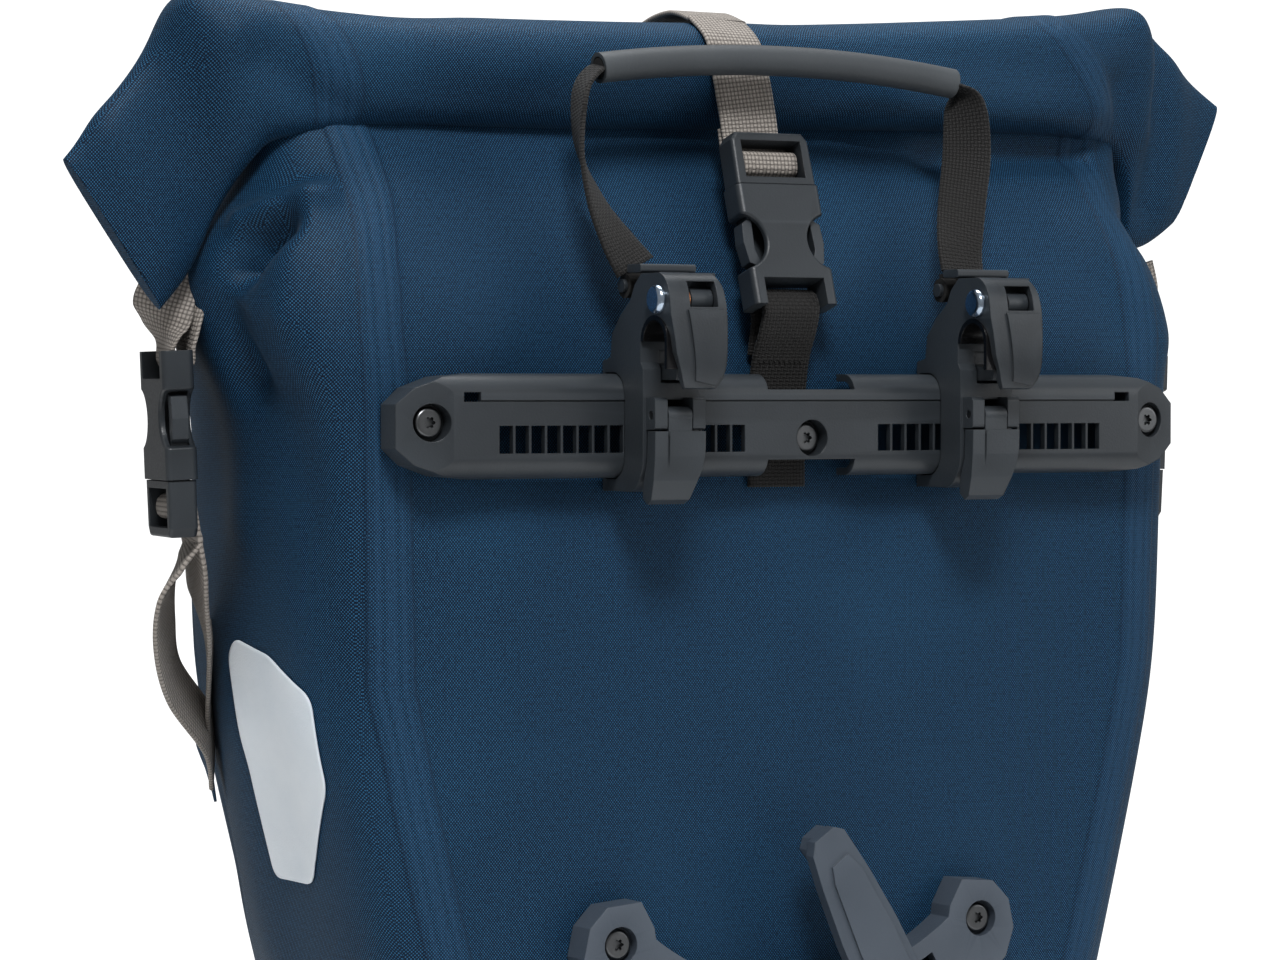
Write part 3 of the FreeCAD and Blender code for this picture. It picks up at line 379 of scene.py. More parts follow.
def bag_fabric(name):
    """Coated navy polyester: satin, with lighter raised dots and slightly paler welded bands."""
    finish, tree, shader = material(name)
    grain = put(tree, "ShaderNodeUVMap", uv_map="grain")
    weave = place_effect(tree, DOBBY, Grain=grain.outputs[0])
    place_noise = put(tree, "ShaderNodeTexNoise", in_Scale=14.0, in_Detail=3.0)
    where = put(tree, "ShaderNodeTexCoord")
    tree.links.new(where.outputs["Object"], place_noise.inputs["Vector"])
    between_lines = sums(tree, "SUBTRACT", 1.0, weave.outputs["Lines"])
    ground = blend_colour(tree, between_lines, FABRIC_GROUND, FABRIC_LINE)
    paint = blend_colour(tree, sums(tree, "MULTIPLY", weave.outputs["Dots"], 0.85), ground, FABRIC_DOT)
    mottle = sums(tree, "MULTIPLY_ADD", place_noise.outputs["Fac"], 0.3, -0.15, clamp=True)
    paint = blend_colour(tree, mottle, paint, FABRIC_DOT)
    distance = put(tree, "ShaderNodeAttribute", attribute_name="seam_mm").outputs["Fac"]
    band = sums(tree, "SUBTRACT", SEAM_HALF_BAND + 0.5, distance, clamp=True)
    press = sums(tree, "SINE", sums(tree, "MULTIPLY", distance, math.tau / WELD_RIB_PITCH))
    press = sums(tree, "MULTIPLY_ADD", press, 0.5, 0.5)
    off_edge = sums(tree, "ABSOLUTE", sums(tree, "SUBTRACT", distance, SEAM_HALF_BAND))
    edge = sums(tree, "SUBTRACT", 1.0, off_edge, clamp=True)
    tint = sums(tree, "MULTIPLY", band, sums(tree, "MULTIPLY_ADD", press, 0.2, 0.06))
    paint = blend_colour(tree, tint, paint, SEAM_TINT)
    paint = blend_colour(tree, sums(tree, "MULTIPLY", edge, 0.35), paint, FABRIC_LINE)
    tree.links.new(paint, shader.inputs["Base Color"])
    rough = sums(tree, "MULTIPLY_ADD", weave.outputs["Dots"], -0.12, 0.62)
    tree.links.new(rough, shader.inputs["Roughness"])
    ribs = sums(tree, "MULTIPLY", sums(tree, "MULTIPLY", band, press), 1.2)
    emboss(tree, shader, sums(tree, "ADD", weave.outputs["Height"], ribs), 0.5, 0.00022)
    shader.inputs["Sheen Weight"].default_value = 0.04
    shader.inputs["Sheen Roughness"].default_value = 0.4
    shader.inputs["Specular IOR Level"].default_value = 0.25
    return finish


BAG_FABRIC = bag_fabric("bag_fabric")


def dress(piece, finish, body):
    piece.data.materials.clear()
    piece.data.materials.append(finish)
    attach(piece, body)
    return piece


shade_smooth(bag)
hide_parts("back_panel", "front_panel", "side_gusset_left", "side_gusset_right", "bottom_panel")
dress(bag, BAG_FABRIC, "bag")
bag_surface = BVHTree.FromObject(bag, bpy.context.evaluated_depsgraph_get())
# a place well outside the bag, in metres, from which its skin is looked for
CLEAR_OF_BAG = 0.3


def on_side(side, y, z, lift):
    """The spot on one side of the bag at this depth and height, lifted outwards by so many mm."""
    spot = bag_surface.ray_cast(Vector((side * CLEAR_OF_BAG, y * MM, z * MM)), Vector((-side, 0, 0)))[0]
    return spot + Vector((side, -0.35 if y < -40 else 0, 0)) * lift * MM


def on_front(x, z, lift):
    """The spot on the front of the bag at this width and height, lifted off it by so many mm."""
    spot = bag_surface.ray_cast(Vector((x * MM, CLEAR_OF_BAG, z * MM)), Vector((0, -1, 0)))[0]
    return spot + Vector((0, 1, 0.25)) * lift * MM


# ---------------------------------------------------------------- rolled closure
# The mouth of the bag: coated fabric rolled three times round a stiff batten.
# Its ends are pressed flat and drawn down by the side straps.
# each station: the roll's upper edge and lower edge as (x, z), its thickness, and the y of its middle
ROLL_STATIONS = (
    ((-214.5, 367.5), (-184, 323.5), 7, -24), ((-208, 374.5), (-177.5, 331), 11, -24),
    ((-197, 390), (-169.5, 344), 16, -25), ((-188, 404), (-163, 358), 21, -27),
    ((-182, 417), (-158, 369.5), 27, -28), ((-172, 417), (-153, 374.5), 33, -29),
    ((-148, 414), (-140, 375.5), 42, -32), ((-122, 411), (-120, 377.5), 45, -33),
    ((-80, 411.5), (-80, 378), 46, -34), ((-30, 413), (-30, 379), 47, -34),
    ((20, 415), (20, 380.5), 47, -34), ((70, 418.5), (70, 382.5), 46, -34),
    ((112, 421.5), (110, 383), 46, -33), ((138, 424), (134, 382.5), 44, -32),
    ((152, 427), (146, 381), 40, -31), ((162, 428), (155, 376), 33, -29),
    ((169, 424.5), (159, 367), 27, -27), ((177, 416), (160.5, 355), 22, -26),
    ((187, 407.5), (163, 346.5), 16, -25), ((198, 401), (173, 347), 11, -24),
    ((204.5, 397), (184.5, 355.5), 7, -24),
)
ROLL_SIDES = 16
ROLL_SQUARENESS = 0.72


def roll_ring(top, bottom, depth, middle):
    """A squarish oval between the two edges."""
    ring = []
    for i in range(ROLL_SIDES):
        a = math.tau * i / ROLL_SIDES
        up, out = math.sin(a), math.cos(a)
        up = math.copysign(abs(up) ** ROLL_SQUARENESS, up)
        out = math.copysign(abs(out) ** ROLL_SQUARENESS, out)
        x = (top[0] + bottom[0]) / 2 + (top[0] - bottom[0]) / 2 * up
        z = (top[1] + bottom[1]) / 2 + (top[1] - bottom[1]) / 2 * up
        ring.append((x, middle + depth / 2 * out, z))
    return ring


def roll_cage():
    rings = [roll_ring(*station) for station in ROLL_STATIONS]
    bm = bmesh.new()
    sharp = bm.edges.layers.float.new("crease_edge")
    made = [[bm.verts.new(Vector(p) * MM) for p in ring] for ring in rings]
    for a, b in zip(made, made[1:]):
        for i in range(ROLL_SIDES):
            j = (i + 1) % ROLL_SIDES
            bm.faces.new((a[i], b[i], b[j], a[j]))
    for ring, turn in ((made[0], False), (made[-1], True)):
        cap = bm.faces.new(tuple(reversed(ring)) if turn else tuple(ring))
        for edge in cap.edges:
            edge[sharp] = 0.9
        bmesh.ops.inset_individual(bm, faces=[cap], thickness=1.2 * MM, depth=-0.6 * MM)
    bmesh.ops.recalc_face_normals(bm, faces=bm.faces)
    mesh = bpy.data.meshes.new("roll_top_fabric")
    bm.to_mesh(mesh)
    bm.free()
    return mesh


roll = add_piece("roll_top_fabric", roll_cage())
smooth_up(roll, 3)
ROLL_FOLDS = (
    # the left end turns down: a valley where it leaves the roll, and soft ribs across it
    (-4.0, 8.0, ((-140, -54, 380), (-150, -50, 386), (-160, -46, 396))),
    (3.0, 9.0, ((-166, -46, 402), (-158, -46, 388), (-152, -46, 376))),
    (2.5, 9.0, ((-178, -40, 412), (-172, -42, 396), (-164, -40, 372))),
    (-3.0, 11.0, ((-192, -36, 398), (-182, -36, 378), (-174, -34, 354))),
    (1.8, 8.0, ((-204, -30, 378), (-194, -32, 360), (-184, -30, 340))),
    # soft rolls along the middle
    (2.0, 14.0, ((-128, -56, 400), (-60, -58, 394))),
    (-1.8, 9.0, ((-110, -56, 388), (-40, -58, 386), (30, -58, 390))),
    (-2.5, 12.0, ((60, -58, 406), (112, -56, 400))),
    (2.4, 12.0, ((50, -58, 392), (130, -54, 388))),
    (1.4, 16.0, ((-90, -50, 408), (0, -52, 408))),
    # the right end hangs lower, with a deep pinch beside it
    (-4.0, 8.0, ((146, -52, 398), (150, -50, 384), (156, -46, 374))),
    (3.0, 8.0, ((156, -46, 420), (162, -44, 402), (164, -42, 386))),
    (-4.0, 8.0, ((172, -40, 416), (170, -40, 396), (172, -38, 376), (170, -36, 362))),
    (2.2, 9.0, ((180, -36, 408), (182, -36, 388), (178, -34, 364))),
)
press_folds(roll, ROLL_FOLDS)


ROLL_SEAM_LIFT = 0.6
ROLL_SEAM_FOOT = 378
ROLL_SEAM_RISE = 40


def mark_roll_seams(piece):
    """The back seams of the bag run on over the roll, leaning outwards."""
    points = points_of(piece)
    level = np.clip((points[:, 2] - ROLL_SEAM_FOOT) / ROLL_SEAM_RISE, 0, 1)
    left = np.abs(points[:, 0] + 137 + 15 * level ** 1.6)
    right = np.abs(points[:, 0] - 141 + 22 * level ** 1.6)
    raise_seams(piece, np.minimum(left, right), ROLL_SEAM_LIFT)


mark_roll_seams(roll)
lay_cloth_grain(roll)
shade_smooth(roll)
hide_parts("roll_top")
dress(roll, BAG_FABRIC, "bag")

# ---------------------------------------------------------------- welded patches
# Eight-cornered silver reflective film on each side, and small squares of bag fabric over the strap ends.
# Each is cut flat with soft corners and welded on to the skin.
# corners of a side patch are (y, z), and those of the front one (x, z)
REFLECTOR_CORNERS = (
    (-8, 226), (-1.5, 220.5), (-10.5, 189), (-10.5, 153.7),
    (-34.7, 153.7), (-55, 184), (-53, 211), (-32.3, 222),
)
ANCHOR_CORNERS = ((25.7, 183.3), (38.3, 170.7), (54.3, 190.7), (41.7, 203.3))
FRONT_CORNERS = ((-20, 284), (10, 284), (10, 305), (-20, 305))
CORNER_CUT = 4.0
EDGE_STEP = 1.2
RING_SHARES = (1.0, 0.97, 0.9, 0.8, 0.7, 0.6, 0.5, 0.4, 0.3, 0.2, 0.1)
FILM_THICK = 0.5
ANCHOR_THICK = 0.8
REFLECTOR_LIFT = 0.35
ANCHOR_LIFT = 3.4
FRONT_LIFT = 2.2


def patch_mesh(name, corners, lay):
    """A thin patch on the bag: rings of points inside a soft-cornered outline, each laid on the skin."""
    outline = []
    for i, corner in enumerate(corners):
        before, here, after = (Vector(corners[(i + k) % len(corners)]) for k in (-1, 0, 1))
        start = here + (before - here).normalized() * CORNER_CUT
        end = here + (after - here).normalized() * CORNER_CUT
        for k in range(7):
            t = k / 6
            outline.append((1 - t) ** 2 * start + 2 * t * (1 - t) * here + t * t * end)
    even = []
    for a, b in zip(outline, outline[1:] + outline[:1]):
        steps = max(1, round((b - a).length / EDGE_STEP))
        even += [a.lerp(b, k / steps) for k in range(steps)]
    middle = sum(even, Vector((0, 0))) / len(even)
    bm = bmesh.new()
    rings = []
    for share in RING_SHARES:
        spots = [middle.lerp(point, share) for point in even]
        rings.append([bm.verts.new(lay(spot.x, spot.y)) for spot in spots])
    count = len(even)
    for outer, inner in zip(rings, rings[1:]):
        for i in range(count):
            j = (i + 1) % count
            bm.faces.new((outer[i], outer[j], inner[j], inner[i]))
    hub = bm.verts.new(lay(middle.x, middle.y))
    for i in range(count):
        bm.faces.new((rings[-1][i], rings[-1][(i + 1) % count], hub))
    bmesh.ops.recalc_face_normals(bm, faces=bm.faces)
    bm.normal_update()
    if hub.normal.x * hub.co.x + hub.normal.y * hub.co.y < 0:
        bmesh.ops.reverse_faces(bm, faces=bm.faces)
    mesh = bpy.data.meshes.new(name)
    bm.to_mesh(mesh)
    bm.free()
    return mesh


def thicken(piece, thickness):
    solid = piece.modifiers.new("thick", "SOLIDIFY")
    solid.thickness = thickness * MM
    solid.offset = 1.0
    return apply_modifiers(piece)


def film_finish():
    """Silver reflective film: a pale grey grained surface with a faint honeycomb of beads."""
    finish, tree, shader = material("reflective_film")
    where = put(tree, "ShaderNodeTexCoord")
    beads = put(tree, "ShaderNodeTexVoronoi", in_Scale=1600.0)
    cloud = put(tree, "ShaderNodeTexNoise", in_Scale=45.0, in_Detail=4.0)
    for node in (beads, cloud):
        tree.links.new(where.outputs["Object"], node.inputs["Vector"])
    paint = blend_colour(tree, cloud.outputs["Fac"], colour(214, 224, 233), colour(238, 243, 247))
    tree.links.new(paint, shader.inputs["Base Color"])
    rough = sums(tree, "MULTIPLY_ADD", beads.outputs["Distance"], 0.25, 0.34)
    tree.links.new(rough, shader.inputs["Roughness"])
    emboss(tree, shader, beads.outputs["Distance"], 0.25, 0.0002)
    return finish


FILM = film_finish()


def weld_patch(name, corners, lay, thickness, node, finish):
    patch = add_piece(name, patch_mesh(name, corners, lay))
    thicken(patch, thickness)
    shade_smooth(patch)
    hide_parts(node)
    return dress(patch, finish, "bag")


for label, side in (("left", -1), ("right", 1)):
    weld_patch(
        "reflector_patch_" + label, REFLECTOR_CORNERS, lambda y, z: on_side(side, y, z, REFLECTOR_LIFT),
        FILM_THICK, "reflector_" + label, FILM)
    anchor = weld_patch(
        "strap_anchor_patch_" + label, ANCHOR_CORNERS, lambda y, z: on_side(side, y, z, ANCHOR_LIFT),
        ANCHOR_THICK, "strap_anchor_" + label, BAG_FABRIC)
    lay_cloth_grain(anchor)
anchor = weld_patch(
    "strap_anchor_patch_front", FRONT_CORNERS, lambda x, z: on_front(x, z, FRONT_LIFT),
    ANCHOR_THICK, "strap_anchor_front", BAG_FABRIC)
lay_cloth_grain(anchor)

# ---------------------------------------------------------------- 20 mm straps
# Flat woven nylon: a grey strap over the roll with a black one below its buckle, and a twisted grey pair on
# each side. Their ends are threaded through the buckles' bars, sewn, or held under a welded patch.
WEB_THICK = 1.5
SPAN_SAMPLES = 12


def webbing(name, stations):
    """A strap along stations of (point, width direction, width) in mm, with its length in its UVs."""
    places = np.array([s[0] for s in stations], float)
    acrosses = np.array([Vector(s[1]).normalized() for s in stations], float)
    widths = np.array([s[2] for s in stations], float)

    def spline(rows, i, t):
        a, b, c, d = (rows[min(max(k, 0), len(rows) - 1)] for k in (i - 1, i, i + 1, i + 2))
        square = (2 * a - 5 * b + 4 * c - d) * t * t
        cube = (3 * b - a - 3 * c + d) * t ** 3
        return 0.5 * (2 * b + (c - a) * t + square + cube)

    line = []
    for i in range(len(stations) - 1):
        for k in range(SPAN_SAMPLES):
            t = k / SPAN_SAMPLES
            line.append((spline(places, i, t), spline(acrosses, i, t), spline(widths, i, t)))
    line.append((places[-1], acrosses[-1], widths[-1]))
    bm = bmesh.new()
    grain = bm.loops.layers.uv.new("grain")
    rings, lengths, run = [], [], 0.0
    half = WEB_THICK / 2
    for i, (centre, across, width) in enumerate(line):
        ahead = line[min(i + 1, len(line) - 1)][0] - line[max(i - 1, 0)][0]
        ahead = Vector(ahead).normalized()
        across = Vector(across)
        across = (across - ahead * across.dot(ahead)).normalized()
        normal = ahead.cross(across)
        if i:
            run += float(np.linalg.norm(centre - line[i - 1][0]))
        lengths.append(run)
        w = width / 2
        outline = [(-w, -half * 0.5), (-w + 0.5, -half)] + [(-w + width * k / 6, -half) for k in range(1, 6)]
        outline += [(w - 0.5, -half), (w, -half * 0.5), (w, half * 0.5), (w - 0.5, half)]
        outline += [(w - width * k / 6, half) for k in range(1, 6)] + [(-w + 0.5, half), (-w, half * 0.5)]
        rings.append([(bm.verts.new((Vector(centre) + across * a + normal * b) * MM), a) for a, b in outline])
    count = len(rings[0])
    for i in range(len(rings) - 1):
        for j in range(count):
            k = (j + 1) % count
            corners = (rings[i][j], rings[i + 1][j], rings[i + 1][k], rings[i][k])
            face = bm.faces.new([c[0] for c in corners])
            runs = (lengths[i], lengths[i + 1], lengths[i + 1], lengths[i])
            for loop, corner, length in zip(face.loops, corners, runs):
                loop[grain].uv = (length * MM, corner[1] * MM)
    bm.faces.new([v for v, a in rings[0]])
    bm.faces.new([v for v, a in reversed(rings[-1])])
    bmesh.ops.recalc_face_normals(bm, faces=bm.faces)
    mesh = bpy.data.meshes.new(name)
    bm.to_mesh(mesh)
    bm.free()
    return shade_smooth(add_piece(name, mesh))


def webbing_group():
    """A ribbed basket weave: threads cross in offset bricks along the strap."""
    group, start, end = effect(
        "basket_weave",
        (("Grain", "NodeSocketVector", None), ("Thread", "NodeSocketFloat", 0.0013)),
        (("Threads", "NodeSocketFloat"), ("Gaps", "NodeSocketFloat")))
    split = put(group, "ShaderNodeSeparateXYZ")
    group.links.new(start.outputs["Grain"], split.inputs[0])
    u = sums(group, "MULTIPLY", sums(group, "DIVIDE", split.outputs[0], start.outputs["Thread"]), math.pi)
    v = sums(group, "MULTIPLY", sums(group, "DIVIDE", split.outputs[1], start.outputs["Thread"]), math.pi)
    warp = sums(group, "ABSOLUTE", sums(group, "SINE", v))
    weft = sums(group, "ABSOLUTE", sums(group, "SINE", u))
    crossing = sums(group, "MULTIPLY", sums(group, "SINE", u), sums(group, "SINE", v))
    check = sums(group, "MULTIPLY_ADD", crossing, 2.5, 0.5, clamp=True)
    warp_up = sums(group, "MULTIPLY", check, warp)
    weft_up = sums(group, "MULTIPLY", sums(group, "SUBTRACT", 1.0, check), weft)
    over = sums(group, "ADD", warp_up, weft_up)
    filled = sums(group, "MULTIPLY", sums(group, "POWER", warp, 0.5), sums(group, "POWER", weft, 0.5))
    # where neither thread covers: the mask that the finish darkens as painted shade
    gaps = sums(group, "SUBTRACT", 1.0, filled, clamp=True)
    group.links.new(over, end.inputs["Threads"])
    group.links.new(gaps, end.inputs["Gaps"])
    return group


BASKET = webbing_group()


def webbing_finish(name, light, dark, thread=0.0013):
    """Nylon webbing: matt threads, with painted shade darkening the gaps between them."""
    finish, tree, shader = material(name)
    grain = put(tree, "ShaderNodeUVMap", uv_map="grain")
    weave = place_effect(tree, BASKET, Grain=grain.outputs[0], Thread=thread)
    cloud = put(tree, "ShaderNodeTexNoise", in_Scale=260.0, in_Detail=2.0)
    where = put(tree, "ShaderNodeTexCoord")
    tree.links.new(where.outputs["Object"], cloud.inputs["Vector"])
    # The gaps between threads are blended towards the dark colour: painted shade in the recesses of the
    # weave.
    paint = blend_colour(tree, sums(tree, "MULTIPLY", weave.outputs["Gaps"], 0.95), light, dark)
    paint = blend_colour(tree, sums(tree, "MULTIPLY", cloud.outputs["Fac"], 0.28), paint, dark)
    tree.links.new(paint, shader.inputs["Base Color"])
    rough = sums(tree, "MULTIPLY_ADD", weave.outputs["Threads"], -0.15, 0.85)
    tree.links.new(rough, shader.inputs["Roughness"])
    emboss(tree, shader, weave.outputs["Threads"], 0.7, 0.0004)
    shader.inputs["Sheen Weight"].default_value = 0.1
    return finish


GREY_WEB = webbing_finish("grey_webbing", colour(180, 173, 166), colour(70, 66, 63))
BLACK_WEB = webbing_finish("black_webbing", colour(38, 37, 37), colour(7, 7, 7), 0.0011)
STRAP_X = -5.0
STRAP_W = 20.0


def square_on(*points):
    """Stations of a strap that lies level from left to right."""
    return [(point, (1, 0, 0), STRAP_W) for point in points]


front_heights = (292, 306, 320, 333)
strap_front = webbing("closing_strap_front", square_on(
    *(tuple(on_front(STRAP_X, z, 1.1) / MM) for z in front_heights),
    (STRAP_X, 52.0, 360.0), (STRAP_X, 18.0, 391.0), (STRAP_X, -8.0, 411.5), (STRAP_X - 1, -18.0, 416.0),
) + [
    ((STRAP_X - 2, -34.0, 417.4), (1, 0.04, 0), STRAP_W),
    ((STRAP_X - 3, -48.0, 414.0), (1, 0.08, 0), STRAP_W),
])
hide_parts("closing_strap")
dress(strap_front, GREY_WEB, "bag")

# over the roll, round the plug's bar and back up under itself
strap_end = webbing("closing_strap_end_web", [
    ((STRAP_X - 3, -47.0, 414.6), (1, 0.08, 0), STRAP_W),
    ((STRAP_X - 3, -57.0, 407.4), (1, 0.06, 0), STRAP_W),
] + square_on(
    (STRAP_X - 2.0, -60.4, 396.0), (STRAP_X - 0.5, -61.8, 384.0), (STRAP_X, -63.2, 376.6),
    (STRAP_X, -67.6, 372.6), (STRAP_X, -72.2, 371.8), (STRAP_X, -73.3, 369.4), (STRAP_X, -73.3, 366.8),
    (STRAP_X, -70.6, 365.2), (STRAP_X, -67.0, 366.4), (STRAP_X, -62.0, 373.0), (STRAP_X, -60.0, 380.0),
))
dress(strap_end, GREY_WEB, "middle_plug")
strap_end.parent = None
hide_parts("closing_strap_end")
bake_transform(strap_end)

# up the back, through the housing's bar and down again
low_web = webbing("middle_low_web", square_on(
    (STRAP_X, -77.6, 271.0), (STRAP_X, -77.6, 284.0), (STRAP_X, -78.2, 300.0), (STRAP_X, -80.2, 310.0),
    (STRAP_X, -84.0, 318.0), (STRAP_X, -86.0, 324.2), (STRAP_X, -84.6, 328.4), (STRAP_X, -81.2, 330.0),
    (STRAP_X, -79.0, 326.8), (STRAP_X, -79.4, 320.6), (STRAP_X, -77.4, 311.0),
))
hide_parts("middle_housing_webbing")
dress(low_web, BLACK_WEB, "bag")


# how far the strap under the tack leans out as it rises
TACK_SLOPE = 0.42


def bar_tack(name, middle, width, rows, pitch, radius):
    """A dense zigzag of thread sewn across a strap that faces the rack side."""
    thread = bpy.data.curves.new(name, "CURVE")
    thread.dimensions = "3D"
    thread.bevel_depth = radius * MM
    thread.bevel_resolution = 2
    count = int(width / pitch)
    for row in range(rows):
        line = thread.splines.new("POLY")
        line.points.add(count)
        for i, point in enumerate(line.points):
            rise = 1.1 if i % 2 else -1.1
            x = middle[0] - width / 2 + i * pitch
            z = middle[2] + rise + 1.6 * row
            y = middle[1] + 0.1 * (i % 2) + TACK_SLOPE * (z - middle[2])
            point.co = (x * MM, y * MM, z * MM, 1)
    holder = add_piece(name + "_line", thread)
    bpy.context.view_layer.update()
    graph = bpy.context.evaluated_depsgraph_get()
    piece = add_piece(name, bpy.data.meshes.new_from_object(holder.evaluated_get(graph)))
    bpy.data.objects.remove(holder)
    return shade_smooth(piece)


tack = bar_tack("middle_bar_tack", (STRAP_X, -80.6, 309.6), 16.0, 2, 0.9, 0.28)
dress(tack, BLACK_WEB, "bag")


def mirror_stations(stations, side):
    """A strap given for the left side (-1), as it is on either side of the bag."""
    return [((-side * p[0], p[1], p[2]), (-side * a[0], a[1], a[2]), w) for p, a, w in stations]


SIDE_ACROSS = (-0.17, -0.98, 0.0)
TAB_STATIONS = [
    ((-175.0, -18.0, 342.0), (1, 0.1, 0.3), 14), ((-178.0, -17.6, 333.0), (1, -0.2, 0.2), 16),
    ((-179.4, -15.6, 325.0), (0.7, -0.7, 0), 19), ((-178.6, -13.2, 319.5), (0.2, -1, 0), 20),
    ((-177.2, -12.2, 314.5), SIDE_ACROSS, 20), ((-176.8, -12.0, 309.4), SIDE_ACROSS, 20),
    ((-174.2, -12.4, 305.9), SIDE_ACROSS, 20), ((-171.3, -13.0, 308.8), SIDE_ACROSS, 20),
    ((-171.4, -13.4, 314.0), SIDE_ACROSS, 20), ((-173.0, -14.4, 323.0), (0.3, -1, 0), 19),
    ((-174.0, -15.6, 332.0), (0.8, -0.5, 0.1), 16),
]
DOWN_STATIONS = [
    ((-170.9, -12.7, 267.2), SIDE_ACROSS, 20), ((-169.3, -12.8, 257.0), SIDE_ACROSS, 20),
    ((-166.5, -10.0, 248.0), (-0.17, -0.98, -0.1), 20), ((-161.5, -1.0, 235.0), (-0.15, -0.9, -0.35), 20),
]
DOWN_ON_SKIN = ((12.0, 221.0, 2.2), (25.0, 208.0, 1.6), (38.0, 195.0, 1.0))
TAIL_STATIONS = [
    ((-170.9, -12.7, 267.2), SIDE_ACROSS, 20), ((-173.3, -12.3, 269.4), SIDE_ACROSS, 20),
    ((-176.6, -11.8, 267.6), SIDE_ACROSS, 20), ((-176.4, -11.8, 263.6), SIDE_ACROSS, 20),
    ((-172.4, -12.4, 261.6), SIDE_ACROSS, 20), ((-169.0, -12.6, 256.4), SIDE_ACROSS, 20),
    ((-171.6, -10.0, 249.0), (-0.3, -0.95, 0), 20), ((-174.0, -5.0, 240.0), (-0.55, -0.8, -0.15), 20),
    ((-171.0, 3.0, 227.0), (-0.6, -0.7, -0.35), 20), ((-163.5, 13.0, 212.0), (-0.45, -0.65, -0.6), 20),
]
TAIL_ON_SKIN = ((26.0, 196.0, 3.6), (38.0, 184.0, 2.6))
for label, side in (("left", -1), ("right", 1)):
    tab = webbing("roll_tab_web_" + label, mirror_stations(TAB_STATIONS, side))
    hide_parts("roll_tab_" + label)
    dress(tab, GREY_WEB, "bag")
    for part, free, on_skin in (("down", DOWN_STATIONS, DOWN_ON_SKIN), ("tail", TAIL_STATIONS, TAIL_ON_SKIN)):
        stations = mirror_stations(free, side)
        for y, z, lift in on_skin:
            stations.append((tuple(on_side(side, y, z, lift) / MM), (side * 0.30, -0.59, -0.74), 20))
        strand = webbing("side_%s_web_%s" % (part, label), stations)
        strand.data.materials.append(GREY_WEB)
        if part == "down":
            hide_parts("side_strap_" + label)
        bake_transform(strand)

# ---------------------------------------------------------------- carrying handle
# Black 15 mm webbing that runs through a soft grip tube and down to a latch on each side.
# The legs leave the grip edge-on and turn to face the rack as they come down.
GRIP_Y = -71.5
LEG_STATIONS = {
    "left": [
        ((-60.0, GRIP_Y, 396.4), (0, 1, 0.1), 6.0), ((-65.5, GRIP_Y - 0.4, 395.2), (0, 1, 0.2), 8.0),
        ((-70.5, -73.0, 388.0), (0.15, 1, 0), 12.0), ((-72.0, -75.5, 372.0), (0.4, 0.9, 0), 14.5),
        ((-69.0, -80.0, 356.0), (0.75, 0.65, 0), 15.0), ((-64.5, -85.0, 344.0), (1, 0.25, 0), 15.0),
        ((-60.5, -88.0, 336.4), (1, 0, 0), 15.0),
    ],
    "right": [
        ((60.0, GRIP_Y, 396.4), (0, 1, 0.1), 6.0), ((64.5, GRIP_Y - 0.4, 395.4), (0.1, 1, 0.2), 9.0),
        ((67.0, -73.4, 388.5), (-0.6, 0.8, 0), 13.5), ((66.0, -76.0, 374.0), (-0.86, 0.5, 0), 15.0),
        ((61.0, -80.5, 357.0), (-0.93, 0.34, 0), 15.0), ((57.2, -85.0, 344.5), (-1, 0.1, 0), 15.0),
        ((56.2, -88.0, 336.4), (-1, 0, 0), 15.0),
    ],
}
for label, stations in LEG_STATIONS.items():
    leg = webbing("handle_leg_web_" + label, stations)
    leg.data.materials.append(BLACK_WEB)
    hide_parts("handle_leg_" + label)
    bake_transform(leg)

# ---------------------------------------------------------------- hooks, rails, buckles and fasteners
# Rails, hooks, latches and buckles are moulded in glass-filled nylon with a fine spark-eroded texture.
# They are held by plated steel screws and rivets, and each latch has a coppered wire spring.


def grain_group():
    """Fine moulded grain with slightly paler, smoother high spots."""
    group, start, end = effect(
        "moulded_grain",
        (("Place", "NodeSocketVector", None), ("Grain Scale", "NodeSocketFloat", 1500.0)),
        (("Grain", "NodeSocketFloat"), ("Wear", "NodeSocketFloat")))
    fine = put(group, "ShaderNodeTexNoise", in_Detail=3.0)
    broad = put(group, "ShaderNodeTexNoise", in_Scale=42.0, in_Detail=5.0)
    for node in (fine, broad):
        group.links.new(start.outputs["Place"], node.inputs["Vector"])
    group.links.new(start.outputs["Grain Scale"], fine.inputs["Scale"])
    group.links.new(fine.outputs["Fac"], end.inputs["Grain"])
    group.links.new(broad.outputs["Fac"], end.inputs["Wear"])
    return group


GRAIN = grain_group()


def plastic(name, dark, light, rough, scale=1500.0):
    finish, tree, shader = material(name)
    where = put(tree, "ShaderNodeTexCoord")
    grain = place_effect(tree, GRAIN, Place=where.outputs["Object"], Grain_Scale=scale)
    shape = put(tree, "ShaderNodeNewGeometry")
    # Convex edges (high pointiness) are painted lighter: a painted highlight along the moulded edges, added
    # to the random clouding.
    edges = sums(tree, "MULTIPLY_ADD", shape.outputs["Pointiness"], 7.0, -3.55, clamp=True)
    clouding = sums(tree, "MULTIPLY", grain.outputs["Wear"], 0.45)
    share = sums(tree, "ADD", clouding, sums(tree, "MULTIPLY", edges, 0.5), clamp=True)
    tree.links.new(blend_colour(tree, share, dark, light), shader.inputs["Base Color"])
    gloss = sums(tree, "MULTIPLY_ADD", grain.outputs["Grain"], 0.22, rough - 0.1)
    tree.links.new(gloss, shader.inputs["Roughness"])
    bump = emboss(tree, shader, grain.outputs["Grain"], 0.28, 0.00015)
    soft_edge = put(tree, "ShaderNodeBevel", samples=4, in_Radius=0.0005)
    tree.links.new(soft_edge.outputs[0], bump.inputs["Normal"])
    return finish


METAL_GRAIN_SCALE = 900.0


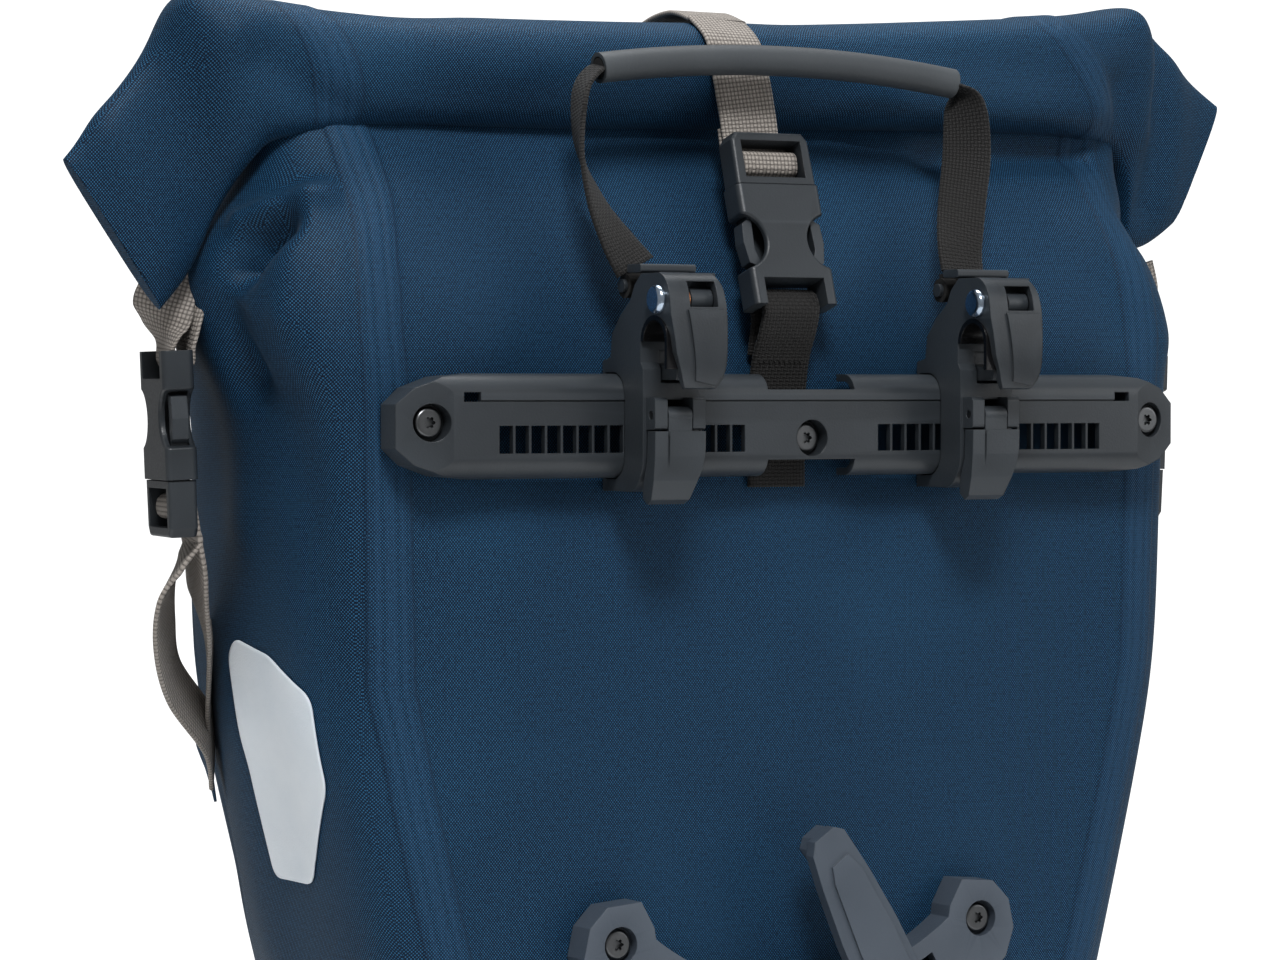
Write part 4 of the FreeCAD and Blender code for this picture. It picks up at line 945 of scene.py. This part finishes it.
def metal(name, tone, rough):
    finish, tree, shader = material(name)
    where = put(tree, "ShaderNodeTexCoord")
    grain = place_effect(tree, GRAIN, Place=where.outputs["Object"], Grain_Scale=METAL_GRAIN_SCALE)
    darker = tuple(c * 0.55 for c in tone[:3]) + (1.0,)
    tree.links.new(blend_colour(tree, grain.outputs["Wear"], darker, tone), shader.inputs["Base Color"])
    gloss = sums(tree, "MULTIPLY_ADD", grain.outputs["Grain"], 0.2, rough - 0.1)
    tree.links.new(gloss, shader.inputs["Roughness"])
    shader.inputs["Metallic"].default_value = 1.0
    emboss(tree, shader, grain.outputs["Grain"], 0.12, 0.0001)
    return finish


DARK = plastic("dark_plastic", colour(46, 50, 54), colour(70, 75, 80), 0.36)
LIGHT = plastic("light_plastic", colour(66, 74, 84), colour(92, 100, 110), 0.38)
LINER = plastic("gloss_liner", colour(14, 14, 15), colour(26, 26, 28), 0.22, 500.0)
GRIP = plastic("grip_rubber", colour(66, 70, 74), colour(84, 89, 93), 0.55, 1100.0)
BOARD = plastic("board_plastic", colour(40, 40, 40), colour(60, 60, 60), 0.6)
STEEL = metal("dark_steel", colour(122, 124, 126), 0.34)
ZINC = metal("zinc_steel", colour(206, 222, 240), 0.2)
COPPER = metal("copper_wire", colour(214, 148, 104), 0.28)
BY_SLOT = {
    "dark_plastic": DARK, "light_plastic": LIGHT, "gloss_liner": LINER, "grip_rubber": GRIP, "board": BOARD,
    "steel": STEEL, "zinc_steel": ZINC, "copper_wire": COPPER, "reflective_film": FILM,
    "black_webbing": BLACK_WEB, "grey_webbing": GREY_WEB, "fabric_patch": BAG_FABRIC, "fabric": BAG_FABRIC,
}
for entry in frame["record"]["subparts"]:
    node = frame["nodes"][entry["node"]]
    if node.hide_render:
        continue
    for place in node.material_slots:
        place.material = BY_SLOT[entry["material_slot"]]

# ---------------------------------------------------------------- studio
# A pale round floor under the bag, a white surround, and three soft panels of light.
floor_mesh = bpy.data.meshes.new("floor")
bm = bmesh.new()
bmesh.ops.create_circle(bm, cap_ends=True, radius=0.75, segments=96)
bm.to_mesh(floor_mesh)
bm.free()
floor = add_piece("floor", floor_mesh)
finish, tree, shader = material("pale_floor")
shader.inputs["Base Color"].default_value = (0.82, 0.82, 0.82, 1)
shader.inputs["Roughness"].default_value = 0.7
floor_mesh.materials.append(finish)

SURROUND = 0.26
world = bpy.data.worlds.new("studio")
bpy.context.scene.world = world
world.use_nodes = True
white = world.node_tree.nodes["Background"]
white.inputs[0].default_value = (1, 1, 1, 1)
seen = put(world.node_tree, "ShaderNodeLightPath")
strength = sums(world.node_tree, "MULTIPLY_ADD", seen.outputs["Is Camera Ray"], 1.0 - SURROUND, SURROUND)
world.node_tree.links.new(strength, white.inputs[1])


def panel_light(name, place, target, size, power):
    light = bpy.data.lights.new(name, "AREA")
    light.shape = "RECTANGLE"
    light.size, light.size_y = size
    light.energy = power
    holder = bpy.data.objects.new(name, light)
    bpy.context.scene.collection.objects.link(holder)
    holder.location = place
    holder.rotation_euler = (Vector(target) - Vector(place)).to_track_quat("-Z", "Y").to_euler()


panel_light("key", (-0.7, -1.5, 1.9), (0, 0, 0.28), (0.6, 0.5), 34)
panel_light("fill", (1.5, -1.4, 0.8), (0, 0, 0.25), (1.0, 1.2), 6.5)
panel_light("top", (0.1, 0.2, 1.7), (0, 0, 0.3), (1.1, 0.8), 12)

VIEW_YAW = math.radians(-30.3)
VIEW_DROP = math.radians(1.21)
camera_data = bpy.data.cameras.new("camera")
camera_data.lens = 118.1
camera_data.sensor_width = 36.0
camera = bpy.data.objects.new("camera", camera_data)
bpy.context.scene.collection.objects.link(camera)
camera.location = (-0.683, -1.156, 0.300)
camera.rotation_euler = (math.pi / 2 - VIEW_DROP, 0, VIEW_YAW)
bpy.context.scene.camera = camera
bpy.context.scene.view_settings.view_transform = "Standard"
bpy.context.scene.view_settings.look = "Medium High Contrast"
